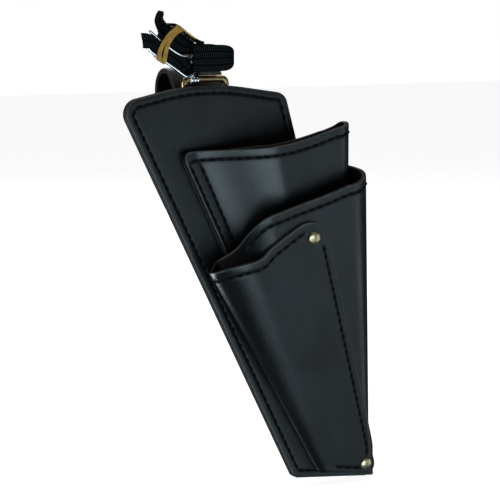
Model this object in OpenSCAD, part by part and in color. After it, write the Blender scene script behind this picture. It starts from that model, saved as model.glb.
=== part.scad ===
// Leather scissors holster that hangs on a waist belt: a slanted two-layer back
// plate carries three nested pockets, a belt loop, a brass ring and a snap hook
// with its webbing belt rolled up and tied by a rubber band.
// The shapes are drawn with x to the right, y to the rear and z up from the apex
// of the plate's front face, then moved so that the belt passage is the origin.

/* [Back plate] */
// Depth from the apex of the top edge to the lowest corner
plate_h = 273; // [268:1:278]
// Thickness of one leather layer of the plate
layer_t = 3; // [2.5:0.1:3.4]
// Lean of the left edge from the vertical, as run over rise
left_lean = 0.501; // [0.49:0.001:0.51]
// Lean of the right edge from the vertical, as run over rise
right_lean = 0.278; // [0.27:0.001:0.285]
// Distance of the perimeter seam from the edge
seam_inset = 5; // [4:0.5:6]

/* [Pockets] */
// Thickness of the pocket leather
wall_t = 2.6; // [2.2:0.1:2.8]
// Half depth of the middle pocket at its mouth
middle_half = 21.5; // [20:0.5:23]
// Half depth of the middle pocket at its foot
foot_half = 3.4; // [3.2:0.1:3.8]
// Half depth of the rear pocket at its mouth
rear_half = 11.5; // [10:0.5:12]
// Thickness of the welt in the rear pocket's side seam
welt_t = 2; // [1.6:0.1:2.2]
// Distance of a mouth seam below its rim
mouth_inset = 5.8; // [5:0.1:7]
// Width of a thread row
thread_w = 0.8; // [0.6:0.1:1]

/* [Rivets] */
// Diameter of a rivet cap
cap_d = 9; // [8:0.5:10]
// Height of a rivet cap above the leather
cap_h = 2.2; // [1.8:0.1:2.6]
// Diameter of a rivet post
post_d = 3; // [2.6:0.1:3.4]

/* [Belt loop and ring] */
// Width of the belt loop
loop_w = 38; // [36:1:40]
// Thickness of the belt loop leather
loop_t = 3; // [2.6:0.1:3.2]
// Outside width of the ring
ring_w = 34; // [33:1:35]
// Outside height of the ring
ring_h = 19; // [18.5:0.5:19]
// Wire diameter of the ring
ring_wire = 4.6; // [4.4:0.1:4.6]

/* [Snap hook and webbing] */
// Wire diameter of the snap hook
hook_wire = 2.4; // [2.2:0.1:2.6]
// Distance between the hook's two wires, centre to centre
hook_gap = 10.4; // [10:0.1:11]
// Width of the webbing
web_w = 17; // [16:0.5:18]
// Thickness of the rolled webbing
hank_t = 13; // [12:0.5:14]
// Width of the rubber band
band_w = 4; // [3:0.5:5]
// Thickness of the rubber band
band_t = 1; // [0.8:0.1:1.2]

/* [Hidden] */
$fn = 48;
gap = 0.05;
// The front pocket's wall keeps this distance from the middle pocket's
lap_gap = 0.2;
// A seam in a bent sheet lies this far off it
thread_gap = 0.3;
thread_h = 0.4;
// The pockets lie on the perimeter thread, this far off the plate
lift = thread_h + gap;
half_t = wall_t / 2;
// Centre of the belt passage in the plate's own coordinates
passage = [8, 26, -22];

// --- outline of the back plate ---
left_top_x = -56.5;
right_top_x = 66;
shoulder_z = -11;
plate_corners = [
    [left_top_x, shoulder_z + 0.5],
    [3, 2.2],
    [right_top_x - 3.5, shoulder_z + 4],
    [right_top_x + (plate_h + shoulder_z) * right_lean - 2.2, -plate_h],
    [left_top_x + (plate_h + shoulder_z) * left_lean - 4.5, -plate_h + 6]
];
plate_radii = [10, 160, 9, 8, 5];

function unit(v) = v / norm(v);
function inward(a, b) = let (u = unit(b - a)) [u.y, -u.x];
// Corners of a clockwise polygon moved in by a distance
function inset(pts, d) = [
    for (i = [0:len(pts) - 1])
        let (n = len(pts))
        let (before = inward(pts[(i + n - 1) % n], pts[i]))
        let (after = inward(pts[i], pts[(i + 1) % n]))
        pts[i] + (before + after) * d / (1 + before * after)
];
// Points of one rounded corner
function corner(a, b, c, r, n) =
    let (u = unit(a - b))
    let (v = unit(c - b))
    let (half = acos(u * v) / 2)
    let (centre = b + unit(u + v) * r / sin(half))
    let (from = unit(b + u * r / tan(half) - centre))
    let (to = unit(b + v * r / tan(half) - centre))
    let (sweep = 180 - 2 * half)
    [for (k = [0:n]) centre + r * (from * sin(sweep * (1 - k / n)) + to * sin(sweep * k / n)) / sin(sweep)];
function rounded(pts, radii, n = 8) = [
    for (i = [0:len(pts) - 1])
        let (m = len(pts))
        each corner(pts[(i + m - 1) % m], pts[i], pts[(i + 1) % m], radii[i], n)
];
function plate_outline(d) = rounded(inset(plate_corners, d), [for (r = plate_radii) max(r - d, 2)]);

// --- shared measures of the pockets, all at a height z ---
mouth_z = -68;
foot_z = -270;
fork_z = -121;
function clamp(v, low, high) = min(max(v, low), high);
function blend(a, b, t) = a + (b - a) * t;
// How far the pockets are open: 0 at the foot, 1 at the middle pocket's mouth
function openness(z) = clamp((z - foot_z) / (mouth_z - foot_z), 0, 1.25);
// How far below the fork of the two outer pockets: 0 at the fork, 1 at the foot
function below_fork(z) = clamp((fork_z - z) / (fork_z - foot_z), 0, 1);
function plate_left(z) = -52.2 - (19.4 + z) * left_lean;
function plate_right(z) = 63.1 - (16.8 + z) * right_lean;
// Smooth curve through [position, value] pairs
function slope_at(pts, i) = let (a = max(i - 1, 0)) let (b = min(i + 1, len(pts) - 1))
    (pts[b][1] - pts[a][1]) / (pts[b][0] - pts[a][0]);
function span_of(pts, u, i = 0) = i >= len(pts) - 2 || u <= pts[i + 1][0] ? i : span_of(pts, u, i + 1);
function curve(pts, u) =
    let (i = span_of(pts, u))
    let (w = pts[i + 1][0] - pts[i][0])
    let (t = (u - pts[i][0]) / w)
    (1 + 2 * t) * pow(1 - t, 2) * pts[i][1] + t * pow(1 - t, 2) * w * slope_at(pts, i)
    + t * t * (3 - 2 * t) * pts[i + 1][1] + t * t * (t - 1) * w * slope_at(pts, i + 1);
// Depth of a superellipse arc of half width 1 and half height 1
function bow(t, n) = pow(max(1 - pow(min(abs(t), 1), n), 0), 1 / n);

// --- middle pocket: margin, rising front wall, right fold, back flap ---
fold_power = 2.4;
flap_w = 16;
margin_w = 7;
function middle_h(z) = blend(foot_half, middle_half, openness(z));
function middle_fold(z) = 85.4 + (mouth_z - z) * 0.185;
function middle_left(z) = plate_left(z) + 7.5 + 9.5 * below_fork(z);
function middle_face(z) = lift + 2 * middle_h(z) - half_t;
function margin_end(z) = middle_left(z) + margin_w;
function rise_end(z) = blend(margin_end(z), middle_fold(z), 0.4);
// Half turn of a fold, from its front (t = 0) to its back (t = 1)
function fold_point(x, base, h, t) = [
    x + (h - half_t) * pow(sin(180 * t), 2 / fold_power),
    base + h + (h - half_t) * sign(cos(180 * t)) * pow(abs(cos(180 * t)), 2 / fold_power)
];
function middle_path(u, z) =
    u < 0.06 ? [blend(middle_left(z), margin_end(z), u / 0.06), lift + half_t]
    : u < 0.35 ? let (t = (u - 0.06) / 0.29)
        [blend(margin_end(z), rise_end(z), t), blend(lift + half_t, middle_face(z), 1 - pow(1 - t, 2))]
    : u < 0.7 ? [blend(rise_end(z), middle_fold(z), (u - 0.35) / 0.35), middle_face(z)]
    : u < 0.86 ? fold_point(middle_fold(z), lift, middle_h(z), (u - 0.7) / 0.16)
    : [blend(middle_fold(z), plate_right(z) - flap_w, (u - 0.86) / 0.14), lift + half_t];
middle_rim_pts = [[0, -121], [0.15, -104.5], [0.22, -93.5], [0.3, -84.5], [0.4, -79.5],
    [0.7, -65], [0.78, -56.5], [0.86, -54], [1, -54]];
function middle_rim(u) = curve(middle_rim_pts, u);
function middle_foot(u) = -263 - 6 * min(u / 0.7, 1);

// --- rear pocket: side margin, front wall, right fold, back wall ---
rear_base = lift + wall_t + 0.8;
rear_foot_z = -180;
rear_margin = 8;
rear_seat = lift + wall_t + welt_t + 2 * gap + half_t;
function rear_h(z) = blend(3, rear_half, openness(z));
function rear_fold(z) = 88 + (mouth_z - z) * 0.077;
function rear_left(z) = let (d = -51.5 - z) -12.7 + 0.48 * d + 0.004 * pow(max(0, d - 60), 2);
function rear_face(z) = rear_base + 2 * rear_h(z) - half_t;
function ease(t) = let (c = clamp(t, 0, 1)) c * c * (3 - 2 * c);
// The back wall steps over the middle pocket's flap near the plate's right edge
function rear_back(x, z) = blend(lift, rear_base, ease((x - plate_right(z) + 32) / 10)) + half_t;
function rear_path(u, z) =
    u < 0.08 ? [blend(rear_left(z), rear_left(z) + rear_margin, u / 0.08), rear_seat]
    : u < 0.5 ? let (t = (u - 0.08) / 0.42)
        [blend(rear_left(z) + rear_margin, rear_fold(z), t), blend(rear_seat, rear_face(z), ease(t / 0.55))]
    : u < 0.6 ? fold_point(rear_fold(z), rear_base, rear_h(z), (u - 0.5) / 0.1)
    : let (x = blend(rear_fold(z), rear_left(z), (u - 0.6) / 0.4)) [x, rear_back(x, z)];
rear_rim_pts = [[0, -50], [0.012, -45.5], [0.04, -43], [0.08, -42], [0.25, -40], [0.35, -37.5],
    [0.42, -34], [0.5, -28.5], [0.55, -25.5], [0.575, -29.2], [0.6, -32.6], [0.7, -38.5],
    [0.8, -41], [0.96, -43.5], [0.988, -45.5], [1, -50]];
function rear_rim(u) = curve(rear_rim_pts, u);
function rear_foot(u) = rear_foot_z;

// --- front pocket: turned-in tab, round left side, front wall lapped on the middle pocket ---
tab_seat = lift + wall_t + lap_gap + half_t;
function front_face(z) = middle_face(z) + wall_t + lap_gap;
function front_turn(z) = middle_left(z) + 3 + 2 * below_fork(z);
function front_side(z) = plate_left(z) + 2.6 + 16.5 * below_fork(z);
function front_start(z) = front_side(z) + blend(7, 24, min(openness(z) / 0.74, 1));
// Right edge: a straight cut that ends on the middle pocket's fold
function front_edge(z) = min(72.6 - (98.4 + z) * 0.345, middle_fold(z) + 0.8 * (middle_h(z) + half_t));
function on_fold(x, z) = let (h = middle_h(z) + half_t + lap_gap)
    lift + middle_h(z) + h * bow(max(x - middle_fold(z), 0) / h, fold_power);
function front_path(u, z) =
    let (mid = (tab_seat + front_face(z)) / 2)
    let (half = (front_face(z) - tab_seat) / 2)
    u < 0.06 ? [blend(middle_left(z) + margin_w - 1.2, front_turn(z), u / 0.06), tab_seat]
    : u < 0.18 ? let (t = (u - 0.06) / 0.12)
        [front_turn(z) - (front_turn(z) - front_side(z)) * pow(sin(90 * t), 0.9), mid - half * cos(90 * t)]
    : u < 0.4 ? let (t = (u - 0.18) / 0.22)
        [front_start(z) - (front_start(z) - front_side(z)) * pow(cos(90 * t), 0.9),
            mid + half * pow(sin(90 * t), 0.9)]
    : let (x = blend(front_start(z), front_edge(z), (u - 0.4) / 0.6)) [x, on_fold(x, z)];
front_rim_pts = [[0, -121.5], [0.06, -121.5], [0.18, -119], [0.3, -114.5], [0.4, -111], [0.47, -108.5],
    [0.55, -103], [0.72, -94], [0.83, -88.6], [0.9, -87.4], [0.95, -89], [0.985, -93], [1, -99]];
function front_rim(u) = curve(front_rim_pts, u);
function front_foot(u) = -263.5 - 6 * clamp((u - 0.3) / 0.7, 0, 1);

// --- building leather sheets and thread rows from paths ---
function steps(a, b, n) = [for (i = [0:n]) a + (b - a) * i / n];
function point_on(path, u, z) = let (p = path(u, z)) [p[0], -p[1], z];
function normal_on(path, u, z) =
    let (e = 0.002)
    let (along = point_on(path, min(u + e, 1), z) - point_on(path, max(u - e, 0), z))
    let (up = point_on(path, u, z + 1) - point_on(path, u, z - 1))
    unit(cross(along, up));
// Closed skin around a grid of rows and columns of corner loops
module skin(sections) {
    n = len(sections);
    m = len(sections[0]);
    side = [for (i = [0:n - 2]) for (j = [0:m - 1])
        let (k = (j + 1) % m)
        each [[i * m + j, i * m + k, (i + 1) * m + k], [i * m + j, (i + 1) * m + k, (i + 1) * m + j]]];
    first = [for (j = [0:m / 2 - 2]) each [[j, m - 1 - j, m - 2 - j], [j, m - 2 - j, j + 1]]];
    last = [for (f = first) [for (k = [2:-1:0]) f[k] + (n - 1) * m]];
    polyhedron(points = [for (s = sections) each s], faces = concat(side, first, last), convexity = 8);
}
// Leather sheet between its foot and its rim, of thickness t about the path
module sheet(path, foot, rim, marks, rows, t) {
    skin([for (u = marks)
        let (heights = steps(foot(u), rim(u), rows))
        concat(
            [for (z = heights) point_on(path, u, z) - normal_on(path, u, z) * t / 2],
            [for (i = [rows:-1:0]) point_on(path, u, heights[i]) + normal_on(path, u, heights[i]) * t / 2])]);
}
// Thread row along [u, z] stations, lying on the outer face of a sheet
module thread_row(path, stations, t, across) {
    skin([for (s = stations)
        let (n = normal_on(path, s[0], s[1]))
        let (p = point_on(path, s[0], s[1]) + n * (t / 2 + thread_gap))
        let (w = across * thread_w / 2)
        [p - w, p + w, p + w + n * thread_h, p - w + n * thread_h]]);
}

// --- places of the rivets ---
wall_tilt = atan(2 * (middle_half - foot_half) / (mouth_z - foot_z));
upper_rivet = [61.3, -97.7];
lower_rivet = [119.3, -260];
loop_rivet_z = -88;
loop_rivet_x = 11;

// --- cross-section of the belt loop: depth behind the plate's front face, height ---
lining_back = 2 * layer_t;
leg_y = lining_back + gap + loop_t / 2;
stand_y = 14.8;
rear_y = 43.4;
join_z = -78;
end_z = -98;
function loop_line() = concat(
    [[leg_y, end_z], [leg_y, -50]],
    [for (k = [0:6]) [blend(leg_y, stand_y, ease(k / 6)), blend(-48, -34, k / 6)]],
    [[stand_y, -4]],
    [for (k = [0:12]) let (a = 115 - 115 * k / 12) [30.5 + (rear_y - 30.5) * cos(a), -5 + 13.4 * sin(a)]],
    [[rear_y, -19]],
    [for (k = [0:10]) let (t = k / 10)
        [blend(rear_y, leg_y + loop_t + gap, ease(t)), blend(-24, join_z, t)]],
    [[leg_y + loop_t + gap, end_z]]
);
function side_of(pts, i) = let (a = pts[max(i - 1, 0)]) let (b = pts[min(i + 1, len(pts) - 1)])
    inward(a, b);
function ribbon(pts, t) = concat(
    [for (i = [0:len(pts) - 1]) pts[i] + side_of(pts, i) * t / 2],
    [for (i = [len(pts) - 1:-1:0]) pts[i] - side_of(pts, i) * t / 2]
);
loop_x = passage.x - loop_w / 2;

// Distance of the loop's leg from the plate's left edge
leg_margin = 7.2;

// --- ring and its tab ---
ring_x = 8.5;
ring_top = 3.2;
ring_bend = 3.2;
tab_t = 1.2;
ring_y = lining_back + 2 * gap + tab_t + ring_wire / 2;
ring_low = ring_top - ring_h + ring_wire;
tab_w = 16;
tab_end = -40;
tab_wrap = ring_wire / 2 + gap + tab_t / 2;
tab_rivet_z = -29;

// --- snap hook: an eye round the ring's top bar, then a long window of wire ---
eye_x = -2.5;
eye_r = ring_wire / 2 + 0.35 + hook_wire / 2;
hook_r = hook_wire / 2;
hook_angle = 147.5;
window_start = [-10, 6.6];
window_run = 31;
gate_run = 37;
along = [cos(hook_angle), sin(hook_angle)];
over = [sin(hook_angle), -cos(hook_angle)];
// A point in the plane of the window, from its run and its height over the lower wire
function in_window(run, up) = window_start + along * run + over * up;
pivot = in_window(0, hook_gap);
nose = in_window(gate_run, hook_gap) - [0, 0.4];
heel = in_window(window_run, 0);
catch = nose - [0, 2.75];
riser_top = pivot - [0, 3.4];
link = [-3.4, 0.2, 7];
gate_r = 1;
pin_r = 0.7;

// --- rolled webbing ---
hank_front = 2.2;
roll_low = 8.6;
roll_left = -5.5;
roll_end = 28;
front_ply = 2;
web_t = 1.8;
band_run = 19;
band_up = 21.5;

// ============================== sub-parts ==============================
module place() {
    translate([-passage.x, -passage.y, -passage.z]) children();
}
// Flat layer of the plate, from depth y to y + t behind the front face
module layer(y, t, d = 0) {
    translate([0, y + t, 0]) rotate([90, 0, 0]) linear_extrude(t) polygon(plate_outline(d));
}
// Post of a rivet from y0 (front) to y1 (rear) on an axis through p, leaning by tilt
module on_axis(p, tilt) {
    translate(p) rotate([90 + tilt, 0, 0]) children();
}
module cap_shape(h) {
    rotate_extrude($fn = 48) polygon(concat(
        [[0, 0], [cap_d / 2 - 0.4, 0], [cap_d / 2, 0.5]],
        [for (k = [0:6]) let (a = 90 * k / 6) [cap_d / 2 * cos(a), 0.5 + (h - 0.5) * sin(a)]]
    ));
}

module front_panel() {
    color([0.09, 0.09, 0.1]) place() layer(0, layer_t);
}

module rear_lining() {
    color([0.12, 0.11, 0.11]) place() difference() {
        layer(layer_t, layer_t);
        for (x = [-loop_rivet_x, loop_rivet_x]) {
            translate([passage.x + x, layer_t - 1, loop_rivet_z]) rotate([-90, 0, 0])
                cylinder(d = cap_d + 0.4, h = 2);
            translate([passage.x + x, layer_t - 1, loop_rivet_z]) rotate([-90, 0, 0])
                cylinder(d = post_d + 0.1, h = layer_t + 2);
        }
        translate([ring_x, layer_t - 1, tab_rivet_z]) rotate([-90, 0, 0]) cylinder(d = cap_d + 0.4, h = 2);
        translate([ring_x, layer_t - 1, tab_rivet_z]) rotate([-90, 0, 0])
            cylinder(d = post_d + 0.1, h = layer_t + 2);
    }
}

// One thread ring on the front face and one on the rear face
module perimeter_thread() {
    color([0.03, 0.03, 0.03]) place()
        for (y = [-thread_h - gap / 2, lining_back + gap / 2])
            difference() {
                layer(y, thread_h, seam_inset - thread_w / 2);
                layer(y - 1, thread_h + 2, seam_inset + thread_w / 2);
            }
}

// Positions along each sheet, closer together where it bends
rear_marks = concat([0, 0.006, 0.015, 0.03, 0.05, 0.065, 0.08, 0.086, 0.094, 0.105, 0.12],
    steps(0.14, 0.48, 12), steps(0.5, 0.6, 12),
    steps(0.63, 0.95, 12), [0.97, 0.985, 0.994, 1]);
middle_marks = concat(steps(0, 0.06, 2), steps(0.085, 0.35, 12), steps(0.38, 0.68, 10),
    steps(0.7, 0.86, 14), steps(0.895, 1, 3));
front_marks = concat(steps(0, 0.06, 2), steps(0.075, 0.4, 24), steps(0.43, 0.84, 12), steps(0.86, 1, 12));
// Rows of a sheet between its foot and its rim
sheet_rows = 10;

module rear_pocket() {
    color([0.1, 0.1, 0.11]) place() sheet(
        function(u, z) rear_path(u, z), function(u) rear_foot(u), function(u) rear_rim(u),
        rear_marks, sheet_rows, wall_t);
}

module rear_pocket_welt() {
    color([0.13, 0.12, 0.12]) place() skin([for (z = steps(rear_foot_z, -52, 10))
        let (x = rear_left(z) + 0.3)
        let (y = -lift - wall_t - gap)
        [[x, y, z], [x + rear_margin - 1.5, y, z], [x + rear_margin - 1.5, y - welt_t, z], [x, y - welt_t, z]]]);
}

module rear_pocket_thread() {
    path = function(u, z) rear_path(u, z);
    sideways = [1, 0, 0];
    color([0.03, 0.03, 0.03]) place() {
        for (u = [0.025, 0.088])
            thread_row(path, [for (z = steps(-52, rear_foot_z + 6, 16)) [u, z]], wall_t, sideways);
        thread_row(path, [for (u = steps(0.035, 0.55, 40)) [u, rear_rim(u) - mouth_inset]],
            wall_t, [0, 0, 1]);
    }
}

wall_stack = 2 * wall_t + lap_gap;
module on_front_wall(p) {
    on_axis([p[0], -front_face(p[1]), p[1]], wall_tilt) translate([0, 0, half_t]) children();
}
// Bore through the two lapped walls
module rivet_hole(p) {
    on_front_wall(p) translate([0, 0, -wall_stack - 1]) cylinder(d = post_d + 0.1, h = wall_stack + 3);
}

module middle_pocket() {
    color([0.1, 0.1, 0.11]) place() difference() {
        sheet(function(u, z) middle_path(u, z), function(u) middle_foot(u), function(u) middle_rim(u),
            middle_marks, sheet_rows, wall_t);
        rivet_hole(upper_rivet);
        rivet_hole(lower_rivet);
    }
}

module middle_pocket_thread() {
    color([0.03, 0.03, 0.03]) place() thread_row(function(u, z) middle_path(u, z),
        [for (u = concat(steps(0.2, 0.68, 26), steps(0.7, 0.84, 14))) [u, middle_rim(u) - mouth_inset]],
        wall_t, [0, 0, 1]);
}

module front_pocket() {
    color([0.1, 0.1, 0.11]) place() difference() {
        sheet(function(u, z) front_path(u, z), function(u) front_foot(u), function(u) front_rim(u),
            front_marks, sheet_rows, wall_t);
        rivet_hole(upper_rivet);
        rivet_hole(lower_rivet);
    }
}

module front_pocket_thread() {
    path = function(u, z) front_path(u, z);
    side_inset = 5.2;
    color([0.03, 0.03, 0.03]) place() {
        thread_row(path, [for (u = steps(0.1, 0.83, 44)) [u, front_rim(u) - mouth_inset]],
            wall_t, [0, 0, 1]);
        thread_row(path, [for (z = steps(-103, -254, 30))
            let (x = front_edge(z) - side_inset)
            [0.4 + 0.6 * (x - front_start(z)) / (front_edge(z) - front_start(z)), z]],
            wall_t, [1, 0, 0]);
        thread_row(path, [for (u = steps(0.42, 0.8, 16)) [u, front_foot(u) + seam_inset]],
            wall_t, [0, 0, 1]);
    }
}

// Row that holds the outer pockets' left margins to the plate
module left_seam_thread() {
    color([0.03, 0.03, 0.03]) place() skin([for (z = steps(-124, -262, 14))
        let (x = middle_left(z) + margin_w - 2)
        let (y = -tab_seat - half_t - gap)
        [[x, y, z], [x + thread_w, y, z], [x + thread_w, y - thread_h, z], [x, y - thread_h, z]]]);
}

// Cap that stands on the surface at z = 0 and takes the post in a blind bore
module rivet_cap() {
    difference() {
        translate([0, 0, gap]) cap_shape(cap_h);
        translate([0, 0, -1]) cylinder(d = post_d + 0.1, h = cap_h + 0.2);
    }
}
// Post through a stack of leather below z = 0, with a flat head under it
module rivet_post(stack, head_h, head_d) {
    translate([0, 0, -stack]) cylinder(d = post_d, h = stack + cap_h - 1);
    translate([0, 0, -stack - gap - head_h]) cylinder(d = head_d, h = head_h);
    translate([0, 0, -stack - gap - 0.1]) cylinder(d = post_d, h = gap + 0.2);
}
// The lower post ends in the narrow foot of the fold, so its head is small
lower_head_d = 5;
module upper_rivet_cap() { color([0.62, 0.55, 0.38]) place() on_front_wall(upper_rivet) rivet_cap(); }
module lower_rivet_cap() { color([0.62, 0.55, 0.38]) place() on_front_wall(lower_rivet) rivet_cap(); }
module upper_rivet_post() {
    color([0.62, 0.55, 0.38]) place() on_front_wall(upper_rivet) rivet_post(wall_stack, 1.1, cap_d);
}
module lower_rivet_post() {
    color([0.62, 0.55, 0.38]) place() on_front_wall(lower_rivet) rivet_post(wall_stack, 1.1, lower_head_d);
}

// Strip that follows a line in the side view, across the width w from x
module side_strip(line, t, x, w) {
    translate([x, 0, 0]) rotate([90, 0, 90]) linear_extrude(w) polygon(ribbon(line, t));
}
// Bores along y through everything behind the lining's front face
module rear_bores(spots) {
    for (p = spots)
        translate([p[0], 0, p[1]]) rotate([-90, 0, 0]) cylinder(d = post_d + 0.1, h = 30);
}
loop_spots = [for (x = [-loop_rivet_x, loop_rivet_x]) [passage.x + x, loop_rivet_z]];
tab_spots = [[ring_x, tab_rivet_z]];
module belt_loop() {
    color([0.1, 0.1, 0.1]) place() difference() {
        side_strip(loop_line(), loop_t, loop_x, loop_w);
        rear_bores(loop_spots);
        // the lower left corner is cut parallel to the plate's edge, clear of its seam
        translate([0, lining_back - 1, 0]) rotate([-90, 0, 0]) linear_extrude(12)
            polygon([for (z = [end_z - 20, end_z + 30]) [plate_left(z) + leg_margin, -z],
                [loop_x - 20, -end_z - 30], [loop_x - 20, 20 - end_z]]);
    }
}
module at_rear(spots, y) {
    for (p = spots) translate([p[0], y, p[1]]) rotate([-90, 0, 0]) children();
}
loop_outer = lining_back + 2 * gap + 2 * loop_t;
recess = 1;
module belt_loop_caps() { color([0.62, 0.55, 0.38]) place() at_rear(loop_spots, loop_outer) rivet_cap(); }
module belt_loop_posts() {
    color([0.62, 0.55, 0.38]) place() at_rear(loop_spots, loop_outer)
        rivet_post(loop_outer - layer_t - recess + gap, recess - 2 * gap, cap_d);
}

function tab_line() = concat(
    [[lining_back + gap + tab_t / 2, tab_end]],
    [for (k = [0:12]) [ring_y - tab_wrap * cos(15 * k), ring_low + tab_wrap * sin(15 * k)]],
    [for (k = [1:6]) [blend(ring_y + tab_wrap, lining_back + 2 * gap + 1.5 * tab_t, ease(k / 6)),
        ring_low - 1.5 - 6.5 * k / 6]],
    [[lining_back + 2 * gap + 1.5 * tab_t, tab_end]]
);
module ring_tab() {
    color([0.1, 0.1, 0.1]) place() difference() {
        side_strip(tab_line(), tab_t, ring_x - tab_w / 2, tab_w);
        rear_bores(tab_spots);
    }
}
tab_outer = lining_back + 2 * gap + 2 * tab_t;
module ring_tab_cap() { color([0.62, 0.55, 0.38]) place() at_rear(tab_spots, tab_outer) rivet_cap(); }
module ring_tab_post() {
    color([0.62, 0.55, 0.38]) place() at_rear(tab_spots, tab_outer)
        rivet_post(tab_outer - layer_t - recess + gap, recess - 2 * gap, cap_d);
}

// Round wire from a to b, and the ball that joins two runs
module run(a, b, r) {
    v = b - a;
    translate(a) rotate([0, acos(v.z / norm(v)), atan2(v.y, v.x)]) cylinder(r = r, h = norm(v));
}
module ball(p, r) {
    translate(p) sphere(r = r + 0.03);
}
module ring() {
    r = ring_wire / 2;
    half_w = ring_w / 2 - r;
    mid_z = (ring_top + ring_low) / 2;
    half_h = (ring_top - ring_low) / 2;
    color([0.66, 0.5, 0.28]) place() translate([ring_x, ring_y, mid_z]) {
        for (s = [-1, 1]) {
            translate([ring_bend - half_w, 0, s * half_h]) rotate([0, 90, 0])
                cylinder(r = r, h = 2 * (half_w - ring_bend));
            translate([s * half_w, 0, ring_bend - half_h]) cylinder(r = r, h = 2 * (half_h - ring_bend));
        }
        for (s = [0, 1]) for (m = [0, 1])
            mirror([s, 0, 0]) mirror([0, 0, m]) translate([half_w - ring_bend, 0, half_h - ring_bend])
                rotate([90, 0, 0]) rotate_extrude(angle = 90) translate([ring_bend, 0]) circle(r = r);
    }
}

function in_plane(p, y = 0) = [p[0], y, p[1]];
cheek_y = 0.75;
module hook_frame() {
    color([0.75, 0.76, 0.78]) place() difference() {
        union() {
            translate([eye_x, ring_y, ring_top]) rotate([0, 90, 0])
                rotate_extrude() translate([eye_r, 0]) circle(r = hook_r);
            run([eye_x, ring_y - eye_r * cos(35), ring_top + eye_r * sin(35)], link, hook_r);
            run(link, in_plane(window_start), hook_r);
            run(in_plane(window_start), in_plane(heel), hook_r);
            run(in_plane(heel), in_plane(catch), hook_r);
            run(link, in_plane(riser_top, 0.9), hook_r);
            for (p = [link, in_plane(window_start), in_plane(heel), in_plane(catch), in_plane(riser_top, 0.9)])
                ball(p, hook_r);
            translate(in_plane(pivot, cheek_y - gap)) rotate([-90, 0, 0]) cylinder(r = 2, h = 1);
            translate(in_plane(pivot - [0.8, 3.4], cheek_y - gap)) cube([1.6, 1, 3.4]);
        }
        translate(in_plane(pivot, -5)) rotate([-90, 0, 0]) cylinder(r = pin_r + gap, h = 10);
        translate(in_plane(pivot, cheek_y - gap - 3)) rotate([-90, 0, 0]) cylinder(r = 2.3, h = 3);
    }
}
module hook_gate() {
    color([0.78, 0.79, 0.8]) place() difference() {
        union() {
            run(in_plane(pivot + along * 1.5), in_plane(nose), gate_r);
            ball(in_plane(nose), gate_r);
            translate(in_plane(pivot, -cheek_y)) rotate([-90, 0, 0]) cylinder(r = 2, h = 1.4);
        }
        translate(in_plane(pivot, -5)) rotate([-90, 0, 0]) cylinder(r = pin_r + gap, h = 10);
        translate(in_plane(pivot, cheek_y - 2 * gap)) rotate([-90, 0, 0]) cylinder(r = 2.4, h = 3);
    }
}
module gate_pin() {
    color([0.7, 0.7, 0.72]) place() translate(in_plane(pivot, -cheek_y - gap)) rotate([-90, 0, 0]) {
        cylinder(r = pin_r, h = cheek_y * 2 + 1 + gap);
        translate([0, 0, -0.5]) cylinder(r = 1.3, h = 0.5);
    }
}

// Outline of the slanted part of the roll
hank_outline = [in_window(3, -1), in_window(26, -1), in_window(29.5, 3), in_window(29.5, 10),
    in_window(25.5, band_up), in_window(8, band_up), in_window(3, 24), [2, roll_low + web_w],
    [2, roll_low], [-5, roll_low]];
module roll_plan() {
    r = (hank_t + front_ply + 2 * hank_front) / 2;
    y0 = -hank_front - front_ply;
    difference() {
        union() {
            translate([roll_left, y0]) square([roll_end - r - roll_left, 2 * r]);
            translate([roll_end - r, y0 + r]) circle(r = r);
        }
        translate([roll_left - 1, -hank_front]) square([20, 2 * hank_front]);
    }
}
module webbing_belt() {
    loop_hole = hook_r + 0.4;
    loop_out = loop_hole + web_t;
    // The end bar leans, so the loop is centred on its middle
    bar_x = (heel[0] + catch[0]) / 2;
    color([0.06, 0.08, 0.08]) place() {
        translate([0, 0, roll_low]) linear_extrude(web_w) roll_plan();
        translate([0, hank_front + hank_t - 3, 0]) rotate([90, 0, 0])
            linear_extrude(hank_t - 3) polygon(hank_outline);
        // loop round the hook's end bar, and its neck back to the roll
        difference() {
            union() {
                translate([bar_x, 0, heel[1] + 2]) cylinder(r = loop_out, h = 6);
                translate([bar_x, loop_hole, heel[1] + 2]) cube([9, web_t, 6]);
            }
            translate([bar_x, 0, heel[1] + 1]) cylinder(r = loop_hole, h = 8);
        }
        // free end
        translate([0, 11, 0]) rotate([90, 0, 0]) linear_extrude(8)
            polygon([[-21, 28], [-16, 30], [-19, 36], [-21.5, 41], [-21.5, 46.5], [-24, 47], [-25, 41], [-22.5, 35]]);
    }
}
// Two bar tacks that close the loop of the webbing behind the hook
module webbing_thread() {
    color([0.04, 0.04, 0.04]) place() for (k = [0, 1])
        translate([heel[0] + 4.2 + 1.6 * k, hook_r + 0.4 - gap - thread_h, heel[1] + 2.6])
            cube([thread_w, thread_h, 4.8]);
}

module rubber_band() {
    slack = 0.35;
    low = -1 - slack;
    high = band_up + slack;
    front = hook_r + slack;
    back = -(hank_front + hank_t - 3 + slack);
    color([0.75, 0.52, 0.2]) place()
        translate(in_plane(in_window(band_run - band_w / 2, 0)))
            rotate([0, 180 - hook_angle, 0]) rotate([90, 0, -90])
                linear_extrude(band_w) translate([back, low]) difference() {
                    translate([-band_t, -band_t]) square([front - back + 2 * band_t, high - low + 2 * band_t]);
                    square([front - back, high - low]);
                }
}

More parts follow.
